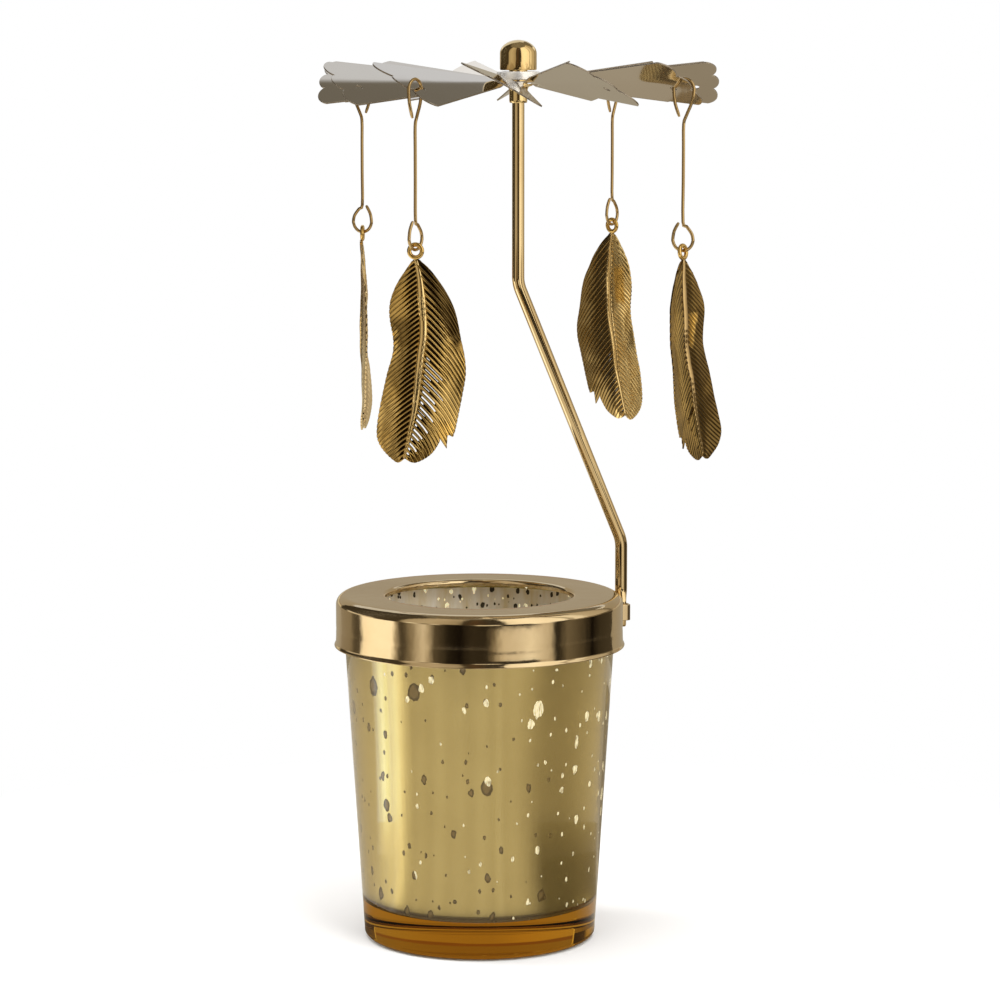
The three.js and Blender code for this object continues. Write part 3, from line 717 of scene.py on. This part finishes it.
def arm_matrix(index):
    """The place of a hook: out along its blade, with x pointing away from the mast."""
    turn = radians(ROTOR_AZIMUTH + 360 / BLADES * HOOK_BLADES[index] + HOOK_TURN)
    place = Matrix.Translation((MAST_XY[0], MAST_XY[1], 0.0)) @ Matrix.Rotation(turn, 4, "Z")
    return place @ Matrix.Translation((HOOK_RADIUS, 0.0, 0.0))


def make_hook(index):
    """A wire with an open loop at each end."""
    number = index + 1
    low = -HOOK_LENGTHS[index]
    r = LOOP_RADIUS
    points = [(-r + TAIL_INSET, -6.4), (-r + TAIL_INSET / 4, -3.2)] + arc(0, 0, r, 180, 0, 12)
    points += [(r * 0.8, -2.9), (r * 0.25, -6.2), (0, -8.3), (0, -14.0), (0, -22.0), (0, low + 4.2)]
    points += [(r * 0.35, low + 3.15), (r * 0.85, low + 1.47)] + arc(0, low, r, 0, -180, 12)
    points += [(-r + TAIL_INSET / 4, low + 2.0), (-r + TAIL_INSET, low + 4.0)]
    path = [(x, 0.0, z) for x, z in spline(points, 3)]
    last = len(path) - 1

    def section(i):
        radius = WIRE_RADIUS * (0.7 if i in (0, last) else 1.0)
        return (radius, radius, 1.0)

    turn = Matrix.Rotation(radians(HOOK_TURNS[index]), 4, "Z")
    matrix = arm_matrix(index) @ Matrix.Translation((0, 0, HOOK_Z)) @ turn
    obj = sweep("hook_form_%d" % number, path, section, 14, matrix)
    settle(obj, 50, "hook_%d" % number, "hanger_hook_%d" % number, "gold_metal", wire_gold)


# Feather outline as shares of its width and of its length below the eyelet
LEFT_EDGE = [
    (-0.05, 0.05), (-0.235, 0.17), (-0.31, 0.282), (-0.262, 0.451), (-0.352, 0.609),
    (-0.457, 0.827), (-0.425, 0.92), (-0.232, 0.998), (-0.13, 0.98),
]
RIGHT_EDGE = [
    (0.05, 0.043), (0.236, 0.125), (0.419, 0.263), (0.502, 0.422), (0.543, 0.564),
    (0.5, 0.687), (0.43, 0.846),
]
TUFT = [(0.407, 0.876), (0.347, 0.868), (0.337, 0.932), (0.247, 0.87)]
TIP_EDGE = [(0.247, 0.87), (0.261, 0.899), (0.161, 0.961), (-0.009, 0.999), (-0.13, 0.98)]
RIB = [(0, 0.035), (0.05, 0.15), (0.081, 0.37), (0.055, 0.49), (0, 0.7), (-0.065, 0.837), (-0.139, 0.977)]


def feather_mm(points):
    return [(a * FEATHER_WIDTH, EYELET_Z - d * FEATHER_LENGTH) for a, d in points]


def between(start, end, share):
    return tuple(a + (b - a) * share for a, b in zip(start, end))


def walk(marks, wanted):
    """For each of the rising values wanted: the step of the marks that holds it, and the share along it."""
    k = 0
    for value in wanted:
        while k < len(marks) - 2 and marks[k + 1] < value:
            k += 1
        yield k, (value - marks[k]) / max(marks[k + 1] - marks[k], 1e-9)


def resample(points, count):
    """Points at even steps along a line of points."""
    lengths = [0.0]
    for (x0, z0), (x1, z1) in zip(points, points[1:]):
        lengths.append(lengths[-1] + hypot(x1 - x0, z1 - z0))
    wanted = [lengths[-1] * i / (count - 1) for i in range(count)]
    return [between(points[k], points[k + 1], t) for k, t in walk(lengths, wanted)]


def feather_depth(index, x, z):
    """The sheet's own bend: bowed across and uneven, and on the first turned back low and at the bite."""
    bow = FEATHER_BOW * (x / (FEATHER_WIDTH / 2)) ** 2
    curl = bitten = 0.0
    if index == 0:
        curl = 0.1 * smoothstep(2.0, 6.0, x) * max(0.0, x - 2.0) * smoothstep(-20.5, -25.5, z)
        bitten = 0.2 * max(0.0, -3.6 - x) * smoothstep(-17.0, -21.5, z) * smoothstep(-29.0, -24.0, z)
    uneven = noise.noise(Vector((x * 0.13, z * 0.11, 2.3 + 4.0 * index))) * 0.6
    ripple = noise.noise(Vector((x * 0.34, z * 0.27, 7.1 + 4.0 * index))) * 0.12
    return bow + curl + bitten + uneven + ripple


def feather_painted_light_and_tarnish(index, x, z):
    """How dark a place on a feather is painted, up to 1, or below 0 where a painted highlight brightens it:
    mostly painted shade, with random tarnish blotches.
    """
    blotch = smoothstep(0.0, 0.4, noise.noise(Vector((x * 0.2, z * 0.15, 3.7 + 5.0 * index))))
    painted_highlight = dark = 0.0
    if index == 0:
        crumple = smoothstep(-0.1, 0.3, noise.noise(Vector((x * 0.9, z * 0.9, 1.3))))
        # Painted highlights along the bite's edge and at the lower right tips
        edge = crumple * span(x, -9.0, -4.6, 0.6) * span(z, -26.0, -19.5, 1.0)
        painted_highlight = max(edge, 0.8 * span(x, 5.0, 9.5, 0.8) * span(z, -46.5, -41.0, 1.0))
        # Painted shade: a dark patch up on the right, at the bite and low down, over random tarnish blotches
        patch = smoothstep(0.0, 1.2, x - 1.4 + 0.45 * (z + 7.0))
        patch *= smoothstep(-0.3, 0.3, z + 22.1 + 1.06 * (11.0 - x))
        bite = smoothstep(0.0, -2.0, x) * span(z, -25.5, -15.0, 3.0)
        low = span(x, -5.5, 0.0, 1.5) * span(z, -37.0, -20.0, 4.0)
        dark = max(0.9 * patch, 0.75 * bite, 0.55 * low, 0.4 * blotch)
    elif index == 1:
        # Painted highlight beside the rib; the whole feather painted darker, most on the left vane, with
        # random lighter blotches
        painted_highlight = span(x, -4.0 - (z + 16.0) * 0.3, 0.0, 0.7) * span(z, -24.0, -15.0, 1.5)
        dark = 0.68 + 0.2 * smoothstep(0.5, -0.5, x) - 0.2 * blotch
    elif index == 2:
        # Painted highlight beside the rib; the right vane painted dark
        painted_highlight = span(x, -4.4, 0.0, 0.8) * span(z, -21.5, -10.0, 2.0)
        dark = max(0.78 * smoothstep(-0.2, 0.8, x), 0.15 * blotch)
    return -painted_highlight if painted_highlight > 0.05 else dark


BARB_PITCH, ROWS_PER_BARB = 0.94, 10
# Shares of a barb's length at which a vane has points
BARB_COLUMNS = [0.0, 0.05, 0.11, 0.18, 0.25, 0.32, 0.4, 0.48, 0.56, 0.64, 0.72, 0.8, 0.88, 0.95, 1.0]


def barb_rows(outline, rib, slope):
    """Lines from the rib out and down to the edge, each with the count of barbs up to it."""
    lines = []
    start = 0
    for x, z in resample(outline, 700):
        reached = (i for i, (rx, rz) in enumerate(rib) if rz - slope * abs(x - rx) <= z)
        start = max(start, next(reached, len(rib) - 1))
        lines.append((rib[start], (x, z)))
    counts = [0.0]
    for (o0, e0), (o1, e1) in zip(lines, lines[1:]):
        m0 = Vector(((o0[0] + e0[0]) / 2, (o0[1] + e0[1]) / 2))
        m1 = Vector(((o1[0] + e1[0]) / 2, (o1[1] + e1[1]) / 2))
        along = Vector((e0[0] - o0[0], e0[1] - o0[1]))
        length = max(along.length, 1e-6)
        step = abs((m1.x - m0.x) * along.y - (m1.y - m0.y) * along.x) / length
        counts.append(counts[-1] + step / BARB_PITCH)
    rows = []
    wanted = [i / ROWS_PER_BARB for i in range(int(counts[-1] * ROWS_PER_BARB))]
    for count, (k, t) in zip(wanted, walk(counts, wanted)):
        (o0, e0), (o1, e1) = lines[k], lines[k + 1]
        rows.append((between(o0, o1, t), between(e0, e1, t), count))
    rows.append((*lines[-1], counts[-1]))
    return rows


def from_groove(count):
    """How far a row lies from the nearest groove, as a share of a barb."""
    return abs(count - round(count))


def barb_line(row, bulge):
    """Points along one row of a vane: place, rise out of the groove, groove depth and bulge of the barb."""
    origin, end, count = row
    dx, dz = end[0] - origin[0], end[1] - origin[1]
    near = from_groove(count)
    dome = 0.05 * (1 - (1 - 2 * near) ** 2)
    notch = 0.014 * smoothstep(0.25, 0.0, near)
    line = []
    for u in BARB_COLUMNS:
        reach = u * (1.0 - (notch if u > 0.9 else 0.0))
        lift = bulge * 4 * reach * (1 - reach)
        x = origin[0] + dx * reach - dz * lift * copysign(1, dx)
        z = origin[1] + dz * reach + abs(dx) * lift
        gap = 0.36 + (0.11 - 0.36) * smoothstep(0.28, 0.6, u)
        rise = smoothstep(gap * 0.65, gap, near)
        rise = 1 - (1 - rise) * smoothstep(0.0, 0.08, u) * (1 - 0.35 * smoothstep(0.7, 1.0, u))
        depth = 0.32 - 0.26 * smoothstep(0.3, 0.7, u)
        line.append((x, z, rise, depth, dome))
    return line


def slit_open(index, rows, r, c):
    """Whether a cell of the pierced vane lies in a slit between two barbs."""
    count = rows[r][2]
    place = count / rows[-1][2]
    near = (from_groove(count) + from_groove(rows[r + 1][2])) / 2
    along = (BARB_COLUMNS[c] + BARB_COLUMNS[c + 1]) / 2
    reach = 0.36 + 0.18 * sin(round(count) * 2.4)
    wide = (0.22 if place > 0.58 else 0.12) * (0.4 if index == 2 else 1.0)
    return 0.4 < place < 0.97 and near < wide and 0.1 < along < reach


def sheet_faces(cells, base, height, width):
    """Faces of a sheet with a front and a back, closed round the cells that it has."""
    back = height * width
    faces = []
    for r, c in sorted(cells):
        a = base + r * width + c
        b, d, e = a + 1, a + width, a + width + 1
        faces.append((a, b, e, d))
        faces.append((back + d, back + e, back + b, back + a))
        sides = (((r - 1, c), a, b), ((r + 1, c), e, d), ((r, c - 1), d, a), ((r, c + 1), b, e))
        faces += [(q, p, back + p, back + q) for cell, p, q in sides if cell not in cells]
    return faces


def make_vane(index, rib, matrix):
    """The pressed sheet on both sides of the rib, with its grooves and slits."""
    left = spline(feather_mm(LEFT_EDGE), 12)
    right = spline(feather_mm(RIGHT_EDGE), 12) + feather_mm(TUFT) + spline(feather_mm(TIP_EDGE), 12)[1:]
    vertices = []
    groove_shades = []
    tarnish_and_painted_light = []
    faces = []
    vanes = ((left, 0.80, 0.02, False), (right, 1.35, 0.06, True))
    for (outline, slope, bulge, pierced), dark in zip(vanes, FEATHER_GROOVE_SHADES[index]):
        rows = barb_rows(outline, rib, slope)
        grid = [barb_line(row, bulge) for row in rows]
        base = len(vertices)
        for side in (-1, 1):
            for x, z, rise, depth, dome in (point for line in grid for point in line):
                y = feather_depth(index, x, z) + side * FEATHER_SHEET / 2 + depth * (0.5 - rise) - dome
                vertices.append((x, y, z))
                # Painted shade in the grooves, lighter on the back of the sheet
                groove_shades.append((1 - rise) * (1.0 if side < 0 else 0.85) * dark)
                # Painted shade and painted highlights, with random tarnish
                tarnish_and_painted_light.append(feather_painted_light_and_tarnish(index, x, z))
        height, width = len(grid), len(BARB_COLUMNS)
        cells = {(r, c) for r in range(height - 1) for c in range(width - 1)}
        if pierced:
            cells = {cell for cell in cells if not slit_open(index, rows, *cell)}
        faces += sheet_faces(cells, base, height, width)
    number = index + 1
    vane = make_object("feather_vane_%d" % number, vertices, faces, matrix)
    for name, values in (("groove_shade", groove_shades), ("tarnish_and_painted_light", tarnish_and_painted_light)):
        vane.data.attributes.new(name, "FLOAT", "POINT").data.foreach_set("value", values)
    settle(vane, 70, "charm_%d" % number, "feather_charm_%d" % number, "gold_metal", PLATING[index])


def make_rib(index, rib, matrix):
    """The beaded rib along a feather."""
    steps, beads = 160, 37
    path = [(x, feather_depth(index, x, z), z) for x, z in resample(rib, steps)]

    def quill(i):
        share = i / (steps - 1)
        radius = 0.55 + 0.5 * smoothstep(0.0, 0.2, share) - 0.15 * smoothstep(0.4, 0.7, share)
        radius -= 0.5 * smoothstep(0.65, 1.0, share)
        if share > 0.06:
            radius *= 1 + 0.015 * cos(2 * pi * share * beads)
        return (radius, radius * 0.7, 1.0)

    stem = sweep("feather_rib_%d" % (index + 1), path, quill, 14, matrix)
    settle(stem, 60, "charm_%d" % (index + 1), None, "gold_metal", RIB_PLATING[index])


def make_eyelet(index, matrix):
    """The ring at the top of a feather."""
    steps, sides = 40, 16
    section = arc(0, 0, 1, 0, 360, sides)[:-1]
    section = [(EYELET_RADIUS + EYELET_WIRE * x, EYELET_DEPTH * y) for x, y in section]
    points, faces = turned(section, steps, (0, 0))
    vertices = [(x, z, EYELET_Z + y) for x, y, z in points]
    eyelet = make_object("feather_eyelet_%d" % (index + 1), vertices, faces, matrix)
    settle(eyelet, 60, "charm_%d" % (index + 1), None, "gold_metal", feather_gold)


def make_feather(index):
    rib = resample(spline(feather_mm(RIB), 12), 400)
    turn = Matrix.Rotation(radians(FEATHER_YAWS[index]), 4, "Z")
    tilt = Matrix.Rotation(radians(FEATHER_TILTS[index]), 4, "X")
    hang = HOOK_Z - HOOK_LENGTHS[index] - LOOP_RADIUS
    matrix = arm_matrix(index) @ Matrix.Translation((0, 0, hang)) @ turn @ tilt
    make_vane(index, rib, matrix)
    make_rib(index, rib, matrix)
    make_eyelet(index, matrix)


make_cup()
make_lid()
make_strap()
make_rod()
make_hub()
make_rotor()
for index in range(len(HOOK_BLADES)):
    make_hook(index)
    make_feather(index)


# Camera at the photographed angle
camera = add_object("camera", bpy.data.cameras.new("camera"))
camera.data.lens = 126.0
camera.data.sensor_width = 36.0
camera.data.clip_start = 0.05
camera.location = (0.0052, -0.87563, 0.22501)
camera_dip = 7.371
camera.rotation_euler = (radians(90 - camera_dip), 0.0, 0.0)
scene.camera = camera


# Stage: pale floor, soft lamps, and cards that are seen only in reflections and through glass
def stage_object(name, vertices, faces, material, hidden=True):
    mesh = bpy.data.meshes.new(name)
    mesh.from_pydata(vertices, [], faces)
    mesh.materials.append(material)
    obj = add_object(name, mesh)
    if hidden:
        obj.visible_camera = False
        obj.visible_diffuse = False
        obj.visible_shadow = False


def seen_rays(m):
    """1 for rays that show the background: from the camera, a reflection or through glass."""
    path = m.add("LightPath").outputs
    seen = m.math("MAXIMUM", path["Is Camera Ray"], path["Is Glossy Ray"])
    return m.math("MAXIMUM", seen, path["Is Transmission Ray"])


def make_floor():
    """A pale floor that keeps the shadow near the object and runs out to white."""
    reach = 3
    m = Nodes("floor")
    m.tree.nodes.remove(m.shader)
    matt = m.add("BsdfDiffuse", {"Color": (0.9, 0.89, 0.88)}).outputs["BSDF"]
    glow = m.add("Emission").outputs["Emission"]
    away = m.add("VectorMath", {0: m.coordinates((1, 1, 1))}, operation="LENGTH").outputs["Value"]
    share = m.math("MULTIPLY", m.ramp(away, (0.06, 0.0), (0.22, 1.0)), seen_rays(m))
    mix = m.add("MixShader", {0: share, 1: matt, 2: glow})
    m.link(mix.outputs["Shader"], m.output.inputs["Surface"])
    corners = [(-reach, -reach, 0), (reach, -reach, 0), (reach, reach, 0), (-reach, reach, 0)]
    stage_object("floor", corners, [(0, 1, 2, 3)], m.owner, hidden=False)


def ring_material(name, stops):
    """Light that changes round the object; angles run from the camera's side, right being positive."""
    m = Nodes(name)
    around = m.add("TexGradient", {"Vector": m.coordinates((1, 1, 1))}, gradient_type="RADIAL")
    places = []
    for angle, level in stops:
        colour = level
        if not isinstance(level, tuple):
            pale = min(1.0, level)
            colour = (level, level * (0.8 + 0.14 * pale), level * (0.5 + 0.32 * pale))
        places.append(((angle + 90) / 360, colour))
    m.glow(m.ramp(around.outputs["Fac"], *places))
    return m.owner


def ring(name, start, end, inner, outer, stops):
    """A card bent round the object between two edges, each given as a radius and a height."""
    steps = 48
    vertices = []
    faces = []
    for i in range(steps + 1):
        a = radians(start + (end - start) * i / steps)
        for r, z in (inner, outer):
            vertices.append((r * sin(a), -r * cos(a), z))
        if i:
            faces.append((2 * i - 2, 2 * i, 2 * i + 1, 2 * i - 1))
    stage_object(name, vertices, faces, ring_material(name, stops))


def ceiling(name, x0, x1, edge):
    """A card overhead, dark in front of an edge and pale behind it."""
    front, back, height = -0.6, 1.8, 0.9
    corners = [(x0, front, height), (x1, front, height), (x1, back, height), (x0, back, height)]
    m = Nodes(name)
    depth = m.add("SeparateXYZ", {"Vector": m.coordinates((1, 1, 1))}).outputs["Y"]
    near = m.math("MULTIPLY_ADD", depth, 0.5, 0.5 - edge * 0.5)
    m.glow(m.ramp(near, (0.475, (0.2, 0.18, 0.145)), (0.52, (0.74, 0.76, 0.8))))
    stage_object(name, corners, [(0, 1, 2, 3)], m.owner)


def part(levels, low, high):
    """The levels between two angles."""
    return [stop for stop in levels if low < stop[0] < high]


# Light round the object: angles in degrees, each with a level of warm grey or a colour
BLACK = (0.006, 0.004, 0.003)
BROWN = (0.1, 0.06, 0.03)
LOW_ROOM = [
    (-89, 1.5), (-70, 1.45), (-66, 0.5), (-63, 0.07), (-59, 0.1), (-52, 0.34), (-43, 0.85),
    (-39, 0.6), (-34, 0.11), (-23, 0.02), (-14, BLACK), (-6, 0.04), (6, 0.035), (12, 0.27), (17, 0.8),
    (30, 0.92), (40, 1.1), (50, 0.8), (56, 0.65), (60, 0.02), (64, 0.04), (71, 0.18), (84, 0.1),
    (97, BLACK), (108, 0.05), (128, 0.07), (222, 0.34), (240, 0.3), (247, 0.1), (254, 0.1), (259, 1.4),
    (268, 1.5),
]
STEP_ROOM = part(LOW_ROOM, -90, 0) + [(4, 0.03), (44, 0.03), (48, 0.64)] + part(LOW_ROOM, 50, 270)
MIDDLE_ROOM = [
    (-88, 0.15), (-66, 0.06), (-60, 0.3), (-54, 0.95), (-49, 0.9), (-44, 0.2), (-39, 0.25),
    (-35, 0.85), (-31, 0.8), (-27, 0.06), (-16, 0.03), (-6, 0.06), (-2, 0.9), (8, 1.0), (14, 0.9),
    (18, 0.03), (38, 0.03), (42, 1.1), (54, 1.1), (62, 0.05), (70, 0.04), (76, 0.3), (104, 0.28),
    (112, 0.12), (128, 0.25), (220, 0.05), (232, 0.1), (238, 0.75), (266, 0.75),
]
HIGH_ROOM = [
    (-88, 0.07), (-64, 0.06), (-60, 0.5), (-40, 0.6), (-16, 0.42), (-12, 0.06), (-4, BROWN), (8, 0.05),
    (19, 0.04), (23, 1.2), (40, 1.35), (70, 1.2), (75, 0.35), (80, 1.1), (88, 1.0), (94, 0.65),
    (118, 0.55), (128, 0.1), (220, 0.05), (262, 0.06),
]
BAND = (1.85, 2.05, 2.2)
BACK = (0.42, 0.37, 0.28)
RIM = part(LOW_ROOM, -90, 70)
RIM += [(80, 0.4), (104, 0.62), (130, 0.74), (200, 0.8), (215, 0.7), (250, 0.78), (262, 1.2)]
# Under the glass: dark in front as a painted shadow of the cup, seen only in reflections and through the
# glass
UNDER_SHADOW = [(-90, 0.12), (80, 0.12), (110, 0.6), (230, 0.5), (262, 0.12)]
TABLE = [
    (-67, 0.9), (-60, 0.72), (-52, 0.8), (-44, 0.72), (-34, 0.84), (-26, 0.74), (-16, 0.8), (-8, 0.72),
    (2, 0.82), (12, 0.7), (17, 0.86), (21, 0.7), (30, 0.76), (40, 0.64), (56, 0.46), (72, 0.42),
    (88, 0.46), (130, 0.74), (140, 0.7), (145, 0.36), (163, 0.37), (178, 0.45), (192, 0.45), (198, 0.74),
    (250, 0.78), (258, 0.9),
]


def table_levels(band, right):
    """Levels of the table's light round the object: a bright band on the left, dimmed on the right."""
    levels = [(angle, level * right if 50 < angle < 135 else level) for angle, level in TABLE]
    return [(-89, band), (-86, 1.2), (-83, 1.25), (-81, band), (-73, 1.6)] + levels + [(262, band)]


make_floor()
# Radii and heights of the cards in metres, and the angles between which they stand
ROOM_RADIUS, BACK_RADIUS, TABLE_Z = 0.36, 0.5, 0.00005
ROOM_START, ROOM_END, BACK_END = -140, 128, 220
ROOM = [("low", 0.0, 0.05, LOW_ROOM), ("step", 0.05, 0.085, STEP_ROOM)]
ROOM += [("middle", 0.085, 0.125, MIDDLE_ROOM), ("high", 0.125, 0.9, HIGH_ROOM)]
for name, low, high, levels in ROOM:
    ring("room_" + name, ROOM_START, ROOM_END, (ROOM_RADIUS, low), (ROOM_RADIUS, high), levels)
BACKS = [("low", 0.0, 0.088, BACK, BACK), ("pale", 0.088, 0.1245, (0.58, 0.525, 0.4), (0.7, 0.62, 0.42))]
BACKS += [("middle", 0.1245, 0.1265, (0.49, 0.41, 0.3), (0.52, 0.43, 0.3))]
BACKS += [("dim", 0.1265, 0.14, (0.36, 0.235, 0.15), (0.34, 0.22, 0.14)), ("high", 0.14, 0.34, BACK, BACK)]
for name, low, high, left, right in BACKS:
    levels = [(ROOM_END, left), (184, left), (194, right), (BACK_END, right)]
    ring("back_" + name, ROOM_END, BACK_END, (BACK_RADIUS, low), (BACK_RADIUS, high), levels)
TABLES = [("under", 0.0, 0.055, UNDER_SHADOW), ("near", 0.055, 0.1, table_levels(1.0, 0.42))]
TABLES += [("middle", 0.1, 0.13, table_levels(1.4, 0.6)), ("far", 0.13, 0.32, table_levels(BAND, 1.0))]
TABLES += [("rim", 0.32, ROOM_RADIUS, RIM)]
for name, inner, outer, levels in TABLES:
    ring("table_" + name, ROOM_START, BACK_END, (inner, TABLE_Z), (outer, TABLE_Z), levels)
levels = [(ROOM_END, BACK), (BACK_END, BACK)]
ring("table_back", ROOM_END, BACK_END, (ROOM_RADIUS, TABLE_Z), (BACK_RADIUS, TABLE_Z), levels)
ceiling("ceiling_left", -0.9, 0.02, 0.465)
ceiling("ceiling_middle", 0.02, 0.19, 0.55)
ceiling("ceiling_right", 0.19, 0.9, 1.175)


def lamp(name, azimuth, distance, height, width, tall, power, target_z):
    """A soft white lamp that faces the object's axis at a height."""
    light = bpy.data.lights.new(name, "AREA")
    light.shape = "RECTANGLE"
    light.size = width
    light.size_y = tall
    light.energy = power
    obj = add_object(name, light)
    a = radians(azimuth)
    obj.location = (distance * sin(a), -distance * cos(a), height)
    aim = Vector((0, 0, target_z)) - obj.location
    obj.rotation_euler = aim.to_track_quat("-Z", "Y").to_euler()


lamp("lamp_left", -102, 0.66, 0.40, 0.22, 0.75, 3.0, 0.15)
lamp("lamp_right", 39, 0.70, 0.45, 0.50, 0.85, 4.5, 0.12)
lamp("lamp_top", 0, 0.15, 1.1, 0.9, 0.9, 9.0, 0.1)

# White where it is seen, and a soft light elsewhere
world = Nodes("studio", world=True)
scene.world = world.owner
world.set(Color=(1.0, 1.0, 1.0), Strength=1.0)
soft = world.add("Background", {"Color": (1.0, 0.99, 0.97), "Strength": 0.55}).outputs["Background"]
links = {0: seen_rays(world), 1: soft, 2: world.shader.outputs["Background"]}
world.link(world.add("MixShader", links).outputs["Shader"], world.output.inputs["Surface"])
